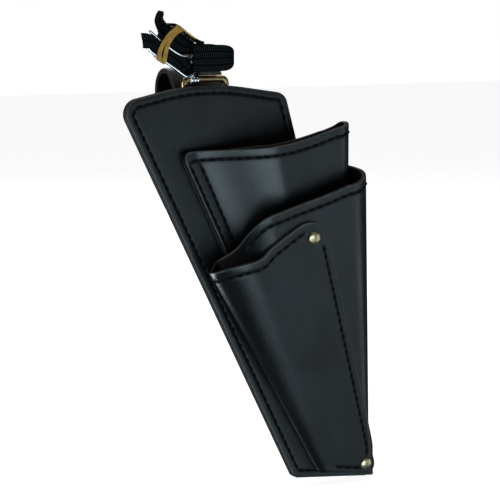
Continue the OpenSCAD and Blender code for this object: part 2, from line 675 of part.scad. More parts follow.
front_panel();
rear_lining();
perimeter_thread();
rear_pocket();
rear_pocket_welt();
rear_pocket_thread();
middle_pocket();
middle_pocket_thread();
front_pocket();
front_pocket_thread();
left_seam_thread();
upper_rivet_cap();
upper_rivet_post();
lower_rivet_cap();
lower_rivet_post();
belt_loop();
belt_loop_caps();
belt_loop_posts();
ring_tab();
ring_tab_cap();
ring_tab_post();
ring();
hook_frame();
hook_gate();
gate_pin();
webbing_belt();
webbing_thread();
rubber_band();
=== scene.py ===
"""Looks of the leather scissors holster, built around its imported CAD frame.

Lengths in the shape code are millimetres in the pattern's own axes: x to the right, y to the
rear, z up, from the apex of the plate's front face. to_row() takes them to the row frame.
"""

from functools import partial

import bpy
import numpy as np
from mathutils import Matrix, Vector


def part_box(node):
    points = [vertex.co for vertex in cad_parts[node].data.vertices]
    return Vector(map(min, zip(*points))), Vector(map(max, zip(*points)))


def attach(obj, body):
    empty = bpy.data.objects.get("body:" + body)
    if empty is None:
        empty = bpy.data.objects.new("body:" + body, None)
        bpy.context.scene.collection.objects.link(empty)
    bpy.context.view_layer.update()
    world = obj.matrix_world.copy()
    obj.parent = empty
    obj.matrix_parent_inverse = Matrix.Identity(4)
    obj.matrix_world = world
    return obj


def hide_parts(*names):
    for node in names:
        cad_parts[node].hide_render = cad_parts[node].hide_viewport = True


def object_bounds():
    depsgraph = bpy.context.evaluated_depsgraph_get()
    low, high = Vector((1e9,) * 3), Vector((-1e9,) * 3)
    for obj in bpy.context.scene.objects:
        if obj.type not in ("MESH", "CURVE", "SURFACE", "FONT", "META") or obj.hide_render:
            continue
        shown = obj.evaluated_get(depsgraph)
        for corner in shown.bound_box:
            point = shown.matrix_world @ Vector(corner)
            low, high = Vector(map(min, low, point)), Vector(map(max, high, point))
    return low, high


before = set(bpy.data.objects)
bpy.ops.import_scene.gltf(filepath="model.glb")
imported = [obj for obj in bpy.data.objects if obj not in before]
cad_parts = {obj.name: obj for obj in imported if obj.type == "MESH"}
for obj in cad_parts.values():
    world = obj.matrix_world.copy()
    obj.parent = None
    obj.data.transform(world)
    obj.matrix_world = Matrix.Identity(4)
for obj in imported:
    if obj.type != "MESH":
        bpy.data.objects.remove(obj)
cad_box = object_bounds()
RNG = np.random.default_rng(11)

# ---------------- measures
MM = 0.001

# back plate: two layers; the leans are sideways shift per mm of height
PLATE_H, LAYER_T = 273.0, 3.0
LEFT_LEAN, RIGHT_LEAN = 0.501, 0.278
TOP_RISE = 2.2
CORNERS = np.array([
    (-56.5, -10.5), (3, TOP_RISE), (62.5, -7),
    (66 + 262 * RIGHT_LEAN - 2.2, -PLATE_H), (-56.5 + 262 * LEFT_LEAN - 4.5, -PLATE_H + 6)])
CORNER_RADII = (10, 160, 9, 8, 5)

# pockets: walls, their half depths at the mouth and the foot, and the heights where they change
WALL_T, WELT_T = 2.6, 2.0
HALF_T = WALL_T / 2
MIDDLE_HALF, REAR_HALF, FOOT_HALF = 21.5, 11.5, 3.4
MOUTH_Z, FOOT_Z, FORK_Z, REAR_FOOT_Z = -68.0, -270.0, -121.0, -180.0
FOLD_POWER = 2.4
FLAP_W, MARGIN_W, REAR_MARGIN = 16.0, 7.0, 8.0

# places in depth, in front of the plate
GAP, LAP_GAP, LIFT = 0.05, 0.2, 0.45
REAR_BASE = LIFT + WALL_T + 0.8
REAR_SEAT = LIFT + WALL_T + WELT_T + 2 * GAP + HALF_T
TAB_SEAT = LIFT + WALL_T + LAP_GAP + HALF_T

# seams: distances from the edge, groove and swelling of the leather; rounding of its edges
SEAM_INSET, MOUTH_INSET, SIDE_INSET = 5.0, 5.8, 5.2
GROOVE, SWELL = 0.34, 0.1
ROW_SINK = 0.16
EDGE_R = 0.55
EDGE_ANGLES = np.radians((30, 60, 90))

# belt loop, ring and the ring's tab
LOOP_T, LOOP_W, PASSAGE_X = 3.0, 38.0, 8.0
LEG_Y, STAND_Y, REAR_Y = 2 * LAYER_T + GAP + LOOP_T / 2, 14.8, 43.4
JOIN_Z, END_Z, LEG_MARGIN = -78.0, -98.0, 7.2
RING_X, RING_TOP, RING_WIRE, RING_H = 8.5, 3.2, 4.6, 19.0
TAB_T, TAB_HALF_W = 1.2, 8
RING_Y = 2 * LAYER_T + 2 * GAP + TAB_T + RING_WIRE / 2
RING_LOW = RING_TOP - RING_H + RING_WIRE
TAB_WRAP = RING_WIRE / 2 + GAP + TAB_T / 2


def unit(v):
    return v / np.maximum(np.linalg.norm(v, axis=-1, keepdims=True), 1e-12)


def inset(points, d):
    before = unit(points - np.roll(points, 1, 0))
    after = np.roll(before, -1, 0)
    n_before = np.stack([before[:, 1], -before[:, 0]], 1)
    n_after = np.stack([after[:, 1], -after[:, 0]], 1)
    return points + (n_before + n_after) * d / (1 + (n_before * n_after).sum(1))[:, None]


def outline(d, arc=16, step=3.0):
    """Points of the plate's outline moved in by d; every d gives the same number of points."""
    moved, base = inset(CORNERS, d), CORNERS
    count = len(base)
    corners = []
    for i in range(count):
        a, b, c = moved[i - 1], moved[i], moved[(i + 1) % count]
        r = max(CORNER_RADII[i] - d, 2)
        u, v = unit(a - b), unit(c - b)
        half = np.arccos(np.dot(u, v)) / 2
        centre = b + unit(u + v) * r / np.sin(half)
        start, end = unit(b + u * r / np.tan(half) - centre), unit(b + v * r / np.tan(half) - centre)
        angle = np.pi - 2 * half
        t = np.linspace(0, 1, arc + 1)[:, None]
        corners.append(
            centre + r * (start * np.sin(angle * (1 - t)) + end * np.sin(angle * t)) / np.sin(angle))
    out = []
    for i in range(count):
        out.append(corners[i])
        pieces = int(np.linalg.norm(base[(i + 1) % count] - base[i]) / step)
        t = np.linspace(0, 1, pieces + 1)[1:-1, None]
        out.append(corners[i][-1] * (1 - t) + corners[(i + 1) % count][0] * t)
    return np.concatenate(out)


# The pattern's origin in the row frame, from where the front panel was packed
panel_low, panel_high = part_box("front_panel")
ORIGIN = np.array([
    panel_low.x - outline(0)[:, 0].min() * MM, panel_low.y, panel_high.z - outline(0)[:, 1].max() * MM])


def to_row(points):
    return np.asarray(points, float) * MM + ORIGIN


def along(points):
    """Distance along a line at each of its points."""
    return np.concatenate([[0], np.cumsum(np.linalg.norm(np.diff(points, axis=0), axis=1))])


def circle(count):
    return np.linspace(0, 2 * np.pi, count, endpoint=False)


def lerp(a, b, t):
    return a + (b - a) * t


def ease(t):
    c = np.clip(t, 0, 1)
    return c * c * (3 - 2 * c)


def bell(d, w):
    return np.exp(-(d / w) ** 2)


def curve(pairs, u):
    """Smooth curve through (position, value) pairs, read at u."""
    x, y = np.array(pairs, float).T
    last = len(x) - 1
    before, after = np.maximum(np.arange(last + 1) - 1, 0), np.minimum(np.arange(last + 1) + 1, last)
    slope = (y[after] - y[before]) / (x[after] - x[before])
    u = np.asarray(u, float)
    i = np.clip(np.searchsorted(x, u, side="left") - 1, 0, last - 1)
    w = x[i + 1] - x[i]
    t = (u - x[i]) / w
    return ((1 + 2 * t) * (1 - t) ** 2 * y[i] + t * (1 - t) ** 2 * w * slope[i]
            + t * t * (3 - 2 * t) * y[i + 1] + t * t * (t - 1) * w * slope[i + 1])


# ---------------- shapes of the pockets
# z is the height; u runs round a pocket from its left margin, 0, to its right end, 1. A path gives x and
# the depth in front of the plate; a rim and a foot give the heights where the leather ends.
def openness(z):
    return np.clip((z - FOOT_Z) / (MOUTH_Z - FOOT_Z), 0, 1.25)


def below_fork(z):
    return np.clip((FORK_Z - z) / (FORK_Z - FOOT_Z), 0, 1)


def plate_left(z):
    return -52.2 - (19.4 + z) * LEFT_LEAN


def plate_right(z):
    return 63.1 - (16.8 + z) * RIGHT_LEAN


def spans(u, knots, parts):
    """Follows the parts one after the other; each gets its own share 0..1."""
    x = d = None
    for low, high, part in zip(knots[:-1], knots[1:], parts):
        px, pd = part(np.clip((u - low) / (high - low), 0, 1))
        x = px + 0 * u if x is None else np.where(u >= low, px, x)
        d = pd + 0 * u if d is None else np.where(u >= low, pd, d)
    return x, d


def fold_point(x, base, h, t):
    s, c = np.sin(np.pi * t), np.cos(np.pi * t)
    return (x + (h - HALF_T) * np.abs(s) ** (2 / FOLD_POWER),
            base + h + (h - HALF_T) * np.sign(c) * np.abs(c) ** (2 / FOLD_POWER))


def middle_h(z):
    return lerp(FOOT_HALF, MIDDLE_HALF, openness(z))


def middle_fold(z):
    return 85.4 + (MOUTH_Z - z) * 0.185


def middle_left(z):
    return plate_left(z) + 7.5 + 9.5 * below_fork(z)


def middle_face(z):
    return LIFT + 2 * middle_h(z) - HALF_T


def middle_path(u, z):
    margin = middle_left(z) + MARGIN_W
    rise = lerp(margin, middle_fold(z), 0.4)
    return spans(u, (0, 0.06, 0.35, 0.7, 0.86, 1), (
        lambda t: (lerp(middle_left(z), margin, t), LIFT + HALF_T),
        lambda t: (lerp(margin, rise, t), lerp(LIFT + HALF_T, middle_face(z), 1 - (1 - t) ** 2)),
        lambda t: (lerp(rise, middle_fold(z), t), middle_face(z)),
        lambda t: fold_point(middle_fold(z), LIFT, middle_h(z), t),
        lambda t: (lerp(middle_fold(z), plate_right(z) - FLAP_W, t), LIFT + HALF_T)))


middle_rim = partial(curve, ((0, -121), (.15, -104.5), (.22, -93.5), (.3, -84.5), (.4, -79.5), (.7, -65),
                             (.78, -56.5), (.86, -54), (1, -54)))


def middle_foot(u):
    return -263 - 6 * np.minimum(u / 0.7, 1)


def rear_h(z):
    return lerp(3, REAR_HALF, openness(z))


def rear_fold(z):
    return 88 + (MOUTH_Z - z) * 0.077


def rear_left(z):
    d = -51.5 - z
    return -12.7 + 0.48 * d + 0.004 * np.maximum(0, d - 60) ** 2


def rear_face(z):
    return REAR_BASE + 2 * rear_h(z) - HALF_T


def rear_path(u, z):
    left, fold = rear_left(z), rear_fold(z)
    inner = left + REAR_MARGIN

    def back(t):
        x = lerp(fold, left, t)
        return x, lerp(LIFT, REAR_BASE, ease((x - plate_right(z) + 32) / 10)) + HALF_T

    return spans(u, (0, 0.08, 0.5, 0.6, 1), (
        lambda t: (lerp(left, inner, t), REAR_SEAT),
        lambda t: (lerp(inner, fold, t), lerp(REAR_SEAT, rear_face(z), ease(t / 0.55))),
        lambda t: fold_point(fold, REAR_BASE, rear_h(z), t),
        back))


rear_rim = partial(curve, ((0, -50), (.012, -45.5), (.04, -43), (.08, -42), (.25, -40), (.35, -37.5),
                           (.42, -34), (.5, -28.5), (.55, -25.5), (.575, -29.2), (.6, -32.6), (.7, -38.5),
                           (.8, -41), (.96, -43.5), (.988, -45.5), (1, -50)))


def rear_foot(u):
    return REAR_FOOT_Z + 0 * u


def front_face(z):
    return middle_face(z) + WALL_T + LAP_GAP


def front_side(z):
    return plate_left(z) + 2.6 + 16.5 * below_fork(z)


def front_start(z):
    return front_side(z) + lerp(7, 24, np.minimum(openness(z) / 0.74, 1))


def front_edge(z):
    return np.minimum(72.6 - (98.4 + z) * 0.345, middle_fold(z) + 0.8 * (middle_h(z) + HALF_T))


def on_fold(x, z):
    h = middle_h(z) + HALF_T + LAP_GAP
    t = np.clip((x - middle_fold(z)) / h, 0, 1)
    return LIFT + middle_h(z) + h * (1 - t ** FOLD_POWER) ** (1 / FOLD_POWER)


def front_path(u, z):
    mid, half = (TAB_SEAT + front_face(z)) / 2, (front_face(z) - TAB_SEAT) / 2
    turn, side, start = middle_left(z) + 3 + 2 * below_fork(z), front_side(z), front_start(z)
    q = np.pi / 2

    def wall(t):
        x = lerp(start, front_edge(z), t)
        return x, on_fold(x, z)

    return spans(u, (0, 0.06, 0.18, 0.4, 1), (
        lambda t: (lerp(middle_left(z) + MARGIN_W - 1.2, turn, t), TAB_SEAT),
        lambda t: (turn - (turn - side) * np.sin(q * t) ** 0.9, mid - half * np.cos(q * t)),
        lambda t: (start - (start - side) * np.cos(q * t).clip(0) ** 0.9, mid + half * np.sin(q * t) ** 0.9),
        wall))


front_rim = partial(curve, ((0, -121.5), (.06, -121.5), (.18, -119), (.3, -114.5), (.4, -111), (.47, -108.5),
                            (.55, -103), (.72, -94), (.83, -88.6), (.9, -87.4), (.95, -89), (.985, -93),
                            (1, -99)))


def front_foot(u):
    return -263.5 - 6 * np.clip((u - 0.3) / 0.7, 0, 1)


def surface(path, u, z):
    """Points of a sheet's middle surface and its outward normals."""
    def at(uu, zz):
        x, d = path(uu, zz)
        return np.stack([x, -d, zz], -1)

    e = 0.002
    u, z = np.broadcast_arrays(np.asarray(u, float), np.asarray(z, float))
    across = at(np.minimum(u + e, 1), z) - at(np.maximum(u - e, 0), z)
    up = at(u, z + 1) - at(u, z - 1)
    return at(u, z), unit(np.cross(across, up))


# ---------------- mesh building
def make(name, points, faces, body, material, nodes, layers=None):
    """A smooth mesh from pattern points, on its body, standing for CAD nodes."""
    mesh = bpy.data.meshes.new(name)
    mesh.from_pydata(to_row(points).tolist(), [], faces)
    mesh.validate()
    mesh.polygons.foreach_set("use_smooth", np.ones(len(mesh.polygons), bool))
    for key, values in (layers or {}).items():
        layer = mesh.attributes.new(key, "FLOAT", "POINT")
        layer.data.foreach_set("value", np.asarray(values, np.float32))
    mesh.materials.append(material)
    mesh.update()
    obj = bpy.data.objects.new(name, mesh)
    bpy.context.scene.collection.objects.link(obj)
    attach(obj, body)
    if nodes:
        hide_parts(*nodes)


def grid_faces(rows, cols, first=0, flip=False, wrap=False):
    i, j = np.meshgrid(np.arange(rows - 1), np.arange(cols if wrap else cols - 1), indexing="ij")
    k = (j + 1) % cols
    quad = np.stack([i * cols + j, (i + 1) * cols + j, (i + 1) * cols + k, i * cols + k], -1) + first
    return (quad[..., ::-1] if flip else quad).reshape(-1, 4)


def slab(points, normals, t, r=0.5, relief=0.0, back_relief=0.0):
    """Closed, round-edged sheet around a grid of points. Returns points, faces and layers."""
    nu, nv = points.shape[:2]
    inward = np.zeros_like(points)
    inward[0] += unit(points[1] - points[0])
    inward[-1] += unit(points[-2] - points[-1])
    inward[:, 0] += unit(points[:, 1] - points[:, 0])
    inward[:, -1] += unit(points[:, -2] - points[:, -1])
    flat = np.broadcast_to(np.asarray(relief, float), (nu, nv))[..., None]
    under = np.broadcast_to(np.asarray(back_relief, float), (nu, nv))[..., None]
    front = points + inward * r + normals * (t / 2 + flat)
    back = points + inward * r - normals * (t / 2 + under)
    ids = np.arange(nu * nv).reshape(nu, nv)
    loop = np.concatenate([ids[:-1, 0], ids[-1, :-1], ids[:0:-1, -1], ids[0, :0:-1]])
    p, n, inw = (a.reshape(-1, 3)[loop] for a in (points, normals, inward))
    rings, cut = [], []
    for sign, angles in ((1, EDGE_ANGLES), (-1, EDGE_ANGLES[::-1])):
        for a in angles:
            rings.append(p + inw * r * (1 - np.sin(a)) + n * sign * (t / 2 - r * (1 - np.cos(a))))
            cut.append(np.full(len(loop), np.sin(a) ** 2))
    total = nu * nv
    verts = np.concatenate([front.reshape(-1, 3), back.reshape(-1, 3)] + rings)
    faces = [grid_faces(nu, nv), grid_faces(nu, nv, total, flip=True)]
    chain = [loop] + [2 * total + k * len(loop) + np.arange(len(loop)) for k in range(len(rings))]
    chain.append(loop + total)
    for a, b in zip(chain[:-1], chain[1:]):
        faces.append(np.stack([a, b, np.roll(b, -1), np.roll(a, -1)], -1))
    layers = {
        "cut": np.concatenate([np.zeros(2 * total)] + cut),
        "flesh": np.concatenate([np.zeros(total), np.ones(total)] + [np.zeros(len(loop))] * len(rings))}
    return verts, np.concatenate(faces).tolist(), layers


def leather_sheet(name, path, foot, rim, marks, rows, seams, node):
    """A pocket's leather: rows are (share from foot to rim, offset) pairs; seams gives distances."""
    u = np.asarray(marks)[:, None]
    share, offset = np.array(rows).T
    low, high = foot(u), rim(u)
    z = low + (high - low) * share + offset
    u = u + 0 * z
    points, normals = surface(path, u, z)
    to_seam = seams(u, z)
    edge = np.minimum(high - z, z - low)
    left = np.linalg.norm(points - points[:1], axis=-1)
    right = np.linalg.norm(points - points[-1:], axis=-1)
    edge = np.minimum(edge, np.minimum(left, right))
    pillow = SWELL * bell(edge - SEAM_INSET * 0.55, 1.6) * (edge < 9)
    verts, faces, layers = slab(points, normals, WALL_T, EDGE_R, pillow - GROOVE * bell(to_seam, 0.75))
    count = len(verts) - 2 * edge.size
    layers["seam"] = np.concatenate([bell(to_seam, 1.3).ravel(), np.zeros(edge.size + count)])
    layers["edge"] = np.concatenate([edge.ravel(), edge.ravel(), np.zeros(count)])
    make(name, verts, faces, "case", LEATHER, [node], layers)


RIM_STEPS = (0, 0.9, 1.8, 3.0, 4.2, 4.9, 5.35, 5.8, 6.25, 6.7, 7.4, 8.6, 10)
FOOT_STEPS = (0, 1.0, 2.2, 3.6, 4.3, 4.65, 5.0, 5.35, 5.7, 6.4, 7.6, 9.5)


def heights(count):
    """Row places: fine near the foot and the rim, even between them."""
    low = [(0.0, s) for s in FOOT_STEPS]
    high = [(1.0, -s) for s in reversed(RIM_STEPS)]
    t = np.linspace(0, 1, count + 2)[1:-1]
    between = [(s, lerp(FOOT_STEPS[-1], -RIM_STEPS[-1], s)) for s in t]
    return low + between + high


def stitches(name, rows, node, body="case", pitch=6.0, length=4.7, radius=0.92, lean=0.1):
    """Separate two-ply stitches along rows of (points, normals) on the leather's surface."""
    rings, sides, twist = 13, 10, 2.6
    scatter, sink, lift, ply_depth, flatness = 0.12, 0.75, 0.12, 0.16, 0.85
    verts, faces, first = [], [], 0
    t = np.linspace(0, 1, rings)
    arch = np.sin(np.pi * t) ** 0.55
    phi = circle(sides)
    for points, normals in rows:
        s = along(points)
        count = max(int(round(s[-1] / pitch)), 1)
        starts = (np.arange(count) + 0.5) * s[-1] / count - length / 2
        starts = starts + RNG.normal(0, scatter, count)
        where = np.clip(starts[:, None] + t * length, 0, s[-1])
        mid = np.stack([np.interp(where, s, points[:, k]) for k in range(3)], -1)
        normal = unit(np.stack([np.interp(where, s, normals[:, k]) for k in range(3)], -1))
        tangent = unit(np.gradient(mid, axis=1))
        side = unit(np.cross(tangent, normal))
        tilt = lean * (1 + RNG.normal(0, 0.3, count))
        mid = mid + side * ((t - 0.5) * length)[None, :, None] * tilt[:, None, None]
        mid = mid + normal * lerp(-sink, lift, arch)[None, :, None]
        r = radius * (0.6 + 0.4 * arch)[None, :, None]
        ply = 1 + ply_depth * np.cos(2 * phi[None, None, :] - twist * (t * length)[None, :, None])
        r = r * ply
        ring = (mid[:, :, None] + side[:, :, None] * (r * np.cos(phi))[..., None]
                + normal[:, :, None] * (r * np.sin(phi) * flatness)[..., None])
        verts.append(ring.reshape(-1, 3))
        body_faces = grid_faces(rings, sides, wrap=True, flip=True).tolist()
        caps = [list(range(sides)), [rings * sides - 1 - k for k in range(sides)]]
        for k in range(count):
            base = first + k * rings * sides
            faces.extend([[base + i for i in f] for f in body_faces + caps])
        first += count * rings * sides
    make(name, np.concatenate(verts), faces, body, THREAD, [node])


# ---------------- materials
class Look:
    """A material with its node tree and short ways to add nodes to it."""

    def __init__(self, name):
        self.material = bpy.data.materials.new(name)
        self.material.use_nodes = True
        self.tree = self.material.node_tree
        self.tree.nodes.clear()
        self.bsdf = self.tree.nodes.new("ShaderNodeBsdfPrincipled")
        out = self.tree.nodes.new("ShaderNodeOutputMaterial")
        self.tree.links.new(self.bsdf.outputs[0], out.inputs[0])
        self.where = self.tree.nodes.new("ShaderNodeTexCoord").outputs["Object"]
        self.normal = None

    def put(self, socket, value):
        if hasattr(value, "links"):
            self.tree.links.new(value, socket)
        else:
            socket.default_value = value

    def node(self, kind, inputs, output=0, **props):
        n = self.tree.nodes.new("ShaderNode" + kind)
        for key, value in props.items():
            setattr(n, key, value)
        for key, value in inputs.items():
            self.put(n.inputs[key], value)
        return n.outputs[output]

    def math(self, operation, a, b):
        return self.node("Math", {0: a, 1: b}, operation=operation)

    def noise(self, scale, detail=2.0, rough=0.5, warp=0.0, where=None):
        return self.node("TexNoise", {"Vector": where or self.where, "Scale": scale, "Detail": detail,
                                      "Roughness": rough, "Distortion": warp})

    def cells(self, scale, smooth):
        inputs = {"Vector": self.where, "Scale": scale, "Smoothness": smooth}
        return self.node("TexVoronoi", inputs, "Distance", feature="SMOOTH_F1")

    def stretched(self, scale, turn=(0, 0, 0)):
        """Texture coordinates scaled per axis, for marks that run one way."""
        return self.node("Mapping", {"Vector": self.where, "Scale": scale, "Rotation": turn})

    def layer(self, name):
        """A value that the mesh code stored at each vertex."""
        return self.node("Attribute", {}, "Fac", attribute_name=name)

    def span(self, value, a, b, to_a=0.0, to_b=1.0):
        """Smooth step that takes a..b to to_a..to_b."""
        inputs = {"Value": value, "From Min": a, "From Max": b, "To Min": to_a, "To Max": to_b}
        return self.node("MapRange", inputs, interpolation_type="SMOOTHSTEP")

    def mix(self, factor, a, b):
        """Mix of two colours; sockets 6 and 7 are the node's colour inputs."""
        return self.node("Mix", {"Factor": factor, 6: colour(a), 7: colour(b)}, 2, data_type="RGBA")

    def blend(self, factor, a, b):
        """Mix of two values; sockets 2 and 3 are the node's value inputs."""
        return self.node("Mix", {"Factor": factor, 2: a, 3: b})

    def ramp(self, value, stops):
        n = self.tree.nodes.new("ShaderNodeValToRGB")
        self.put(n.inputs[0], value)
        while len(n.color_ramp.elements) < len(stops):
            n.color_ramp.elements.new(0.5)
        for element, (place, c) in zip(n.color_ramp.elements, stops):
            element.position, element.color = place, colour(c)
        return n.outputs[0]

    def bump(self, height, strength, distance):
        inputs = {"Height": height, "Strength": strength, "Distance": distance}
        if self.normal is not None:
            inputs["Normal"] = self.normal
        self.normal = self.node("Bump", inputs)

    def done(self, **values):
        for key, value in values.items():
            self.put(self.bsdf.inputs[key], value)
        if self.normal is not None:
            self.put(self.bsdf.inputs["Normal"], self.normal)
        return self.material


def colour(c):
    return c if hasattr(c, "links") else (*c, 1.0)


def leather(name, tone, roughness):
    """Smooth dyed leather with a raw, fibrous flesh side and cut edge."""
    k = Look(name)
    cut, flesh = k.layer("cut"), k.layer("flesh")
    seam, edge = k.layer("seam"), k.layer("edge")
    patches = k.noise(26, 4, 0.55)
    mottle = k.noise(210, 3, 0.6)
    base = k.mix(k.span(patches, 0.35, 0.7), tone, tuple(1.55 * c for c in tone))
    base = k.mix(k.math("MULTIPLY", k.span(mottle, 0.45, 0.75), 0.35), base, tuple(2.0 * c for c in tone))
    # wear: rubbed lighter in a broken line just inside the cut edge
    rub = k.math("MULTIPLY", k.span(edge, 0.1, 1.5, 1.0, 0.0), k.span(k.noise(320, 3, 0.7), 0.35, 0.62))
    base = k.mix(k.math("MULTIPLY", rub, 0.55), base, (0.085, 0.082, 0.08))
    # painted shade: the seam groove is darkened almost to black, standing for the shade of the stitches and
    # their holes
    base = k.mix(k.math("MULTIPLY", seam, 0.9), base, (0.001, 0.001, 0.0013))
    fibres = k.noise(1500, 4, 0.7)
    inside = k.ramp(fibres, ((0.3, (0.017, 0.014, 0.013)), (0.7, (0.048, 0.041, 0.037))))
    base = k.mix(flesh, base, inside)
    raw = k.ramp(k.noise(800, 5, 0.8, 0.5), (
        (0.28, (0.020, 0.016, 0.013)), (0.6, (0.060, 0.050, 0.042)), (0.85, (0.15, 0.125, 0.10))))
    # the bevel next to the cut gets a painted highlight: a lighter grey line, broken by noise, that partly
    # also stands for rubbed wear
    bevel = k.math("MULTIPLY", k.span(cut, 0.02, 0.3), k.span(cut, 0.9, 0.45))
    highlight_and_wear = k.span(k.noise(240, 3, 0.6), 0.3, 0.6, 0.35, 0.95)
    base = k.mix(k.math("MULTIPLY", bevel, highlight_and_wear), base, (0.13, 0.13, 0.135))
    base = k.mix(k.span(cut, 0.7, 0.98), base, raw)
    grain = k.cells(1250, 0.35)
    pores = k.noise(3400, 2, 0.5)
    wrinkle = k.noise(520, 5, 0.62, 0.6)
    k.bump(k.noise(15, 2, 0.4), 0.22, 0.006)
    k.bump(wrinkle, 0.16, 0.0006)
    k.bump(grain, 0.34, 0.00016)
    k.bump(pores, 0.22, 0.00008)
    rough_side = k.math("MAXIMUM", flesh, cut)
    k.bump(k.math("MULTIPLY", fibres, rough_side), 0.9, 0.0005)
    shine = k.span(patches, 0.3, 0.75, roughness - 0.05, roughness + 0.09)
    shine = k.math("ADD", shine, k.math("MULTIPLY", k.span(grain, 0.1, 0.6), 0.07))
    shine = k.math("ADD", shine, k.math("MULTIPLY", seam, 0.3))
    shine = k.blend(rough_side, shine, 0.86)
    dull = k.math("MAXIMUM", rough_side, k.math("MULTIPLY", seam, 0.7))
    bare = k.math("MAXIMUM", rough_side, seam)
    return k.done(**{
        "Base Color": base, "Roughness": shine, "Specular IOR Level": k.blend(dull, 0.5, 0.12),
        "Coat Weight": k.blend(bare, 0.12, 0.0), "Coat Roughness": 0.22})


def thread_look(name):
    k = Look(name)
    fuzz = k.noise(5200, 3, 0.7)
    base = k.ramp(fuzz, ((0.3, (0.0012, 0.0012, 0.0015)), (0.75, (0.004, 0.004, 0.005))))
    k.bump(fuzz, 0.4, 0.0001)
    k.bump(k.noise(900, 2), 0.3, 0.0001)
    return k.done(**{"Base Color": base, "Roughness": k.span(fuzz, 0.2, 0.8, 0.6, 0.85),
                     "Specular IOR Level": 0.14})


def brass_look(name, bright, dull, tarnish, roughness, spots):
    k = Look(name)
    clouds = k.noise(420, 4, 0.6, 0.5)
    specks = k.noise(2400, 3, 0.7)
    crevice = k.span(k.node("NewGeometry", {}, "Pointiness"), 0.46, 0.51)
    base = k.mix(k.span(clouds, 0.4, 0.68), bright, dull)
    base = k.mix(k.span(specks, 0.58, 0.72, 0.0, spots), base, tarnish)
    base = k.mix(crevice, tarnish, base)
    scratches = k.noise(900, 2, 0.6, 0.0, k.stretched((1, 6, 14), (0.4, 0.8, 0.3)))
    k.bump(scratches, 0.12, 0.0001)
    k.bump(specks, 0.12, 0.00008)
    shine = k.math("ADD", k.span(clouds, 0.35, 0.75, roughness, roughness + 0.16),
                   k.math("MULTIPLY", specks, 0.1))
    return k.done(**{"Base Color": base, "Metallic": 1.0, "Roughness": shine})


def chrome_look(name):
    k = Look(name)
    haze = k.noise(500, 3, 0.6)
    lines = k.noise(1400, 2, 0.6, 0.0, k.stretched((1, 1, 9), (0.0, 0.6, 0.0)))
    base = k.mix(k.span(haze, 0.55, 0.75, 0.0, 0.6), (0.82, 0.83, 0.85), (0.52, 0.52, 0.53))
    k.bump(lines, 0.08, 0.0001)
    shine = k.span(haze, 0.3, 0.75, 0.1, 0.26)
    return k.done(**{"Base Color": base, "Metallic": 1.0, "Roughness": shine})


def webbing_look(name):
    k = Look(name)
    fibres = k.noise(4200, 3, 0.7)
    blotch = k.noise(130, 3, 0.6)
    base = k.ramp(fibres, ((0.25, (0.0008, 0.0011, 0.0013)), (0.6, (0.0022, 0.0032, 0.0036)),
                           (0.85, (0.007, 0.0098, 0.0105))))
    base = k.mix(k.span(blotch, 0.4, 0.7, 0.0, 0.45), base, (0.0022, 0.0055, 0.0062))
    rib = k.layer("rib")
    # painted light: rib tops are painted lighter as a highlight, and the grooves between ribs near black as
    # painted shade
    base = k.mix(k.span(rib, 0.6, 1.0, 0.0, 0.6), base, (0.0095, 0.0145, 0.0155))
    base = k.mix(k.span(rib, 0.4, 0.05, 0.0, 0.8), base, (0.0005, 0.0006, 0.0007))
    k.bump(k.noise(1900, 2, 0.6, 0.3, k.stretched((1, 1, 0.35))), 0.5, 0.0003)
    k.bump(fibres, 0.5, 0.0002)
    return k.done(**{"Base Color": base, "Roughness": k.span(fibres, 0.2, 0.8, 0.5, 0.8),
                     "Specular IOR Level": k.span(rib, 0.3, 1.0, 0.02, 0.18)})


def rubber_look(name):
    k = Look(name)
    clouds = k.noise(260, 3, 0.6)
    dust = k.noise(2600, 3, 0.7)
    base = k.mix(k.span(clouds, 0.35, 0.7), (0.62, 0.34, 0.055), (0.46, 0.235, 0.03))
    base = k.mix(k.span(dust, 0.55, 0.75, 0.0, 0.5), base, (0.70, 0.45, 0.13))
    k.bump(dust, 0.3, 0.00012)
    k.bump(k.noise(700, 2, 0.5), 0.25, 0.0002)
    return k.done(**{"Base Color": base, "Roughness": k.span(dust, 0.2, 0.8, 0.5, 0.7),
                     "Subsurface Weight": 0.18, "Subsurface Radius": (0.002, 0.001, 0.0004)})


LEATHER = leather("black_leather", (0.0052, 0.0055, 0.0066), 0.32)
PLATE_LEATHER = leather("black_leather_plate", (0.005, 0.005, 0.0062), 0.32)
STRAP_LEATHER = leather("black_leather_strap", (0.0065, 0.0062, 0.0062), 0.44)
THREAD = thread_look("black_thread")
RIVET = brass_look(
    "antique_rivet", (0.62, 0.53, 0.34), (0.42, 0.34, 0.19), (0.10, 0.07, 0.035), 0.24, 0.7)
RING_BRASS = brass_look(
    "ring_brass", (0.78, 0.55, 0.30), (0.62, 0.40, 0.19), (0.22, 0.12, 0.05), 0.24, 0.25)
CHROME = chrome_look("bright_chrome")
WEBBING = webbing_look("ribbed_webbing")
RUBBER = rubber_look("ochre_rubber")


# ---------------- back plate
# distances from the plate's edge where its outer face has a ring of points
PLATE_RINGS = (1.2, 2.2, 3.2, 4.0, 4.4, 4.7, 5.0, 5.3, 5.6, 6.0, 6.8, 8.0, 10.0, 14.0)


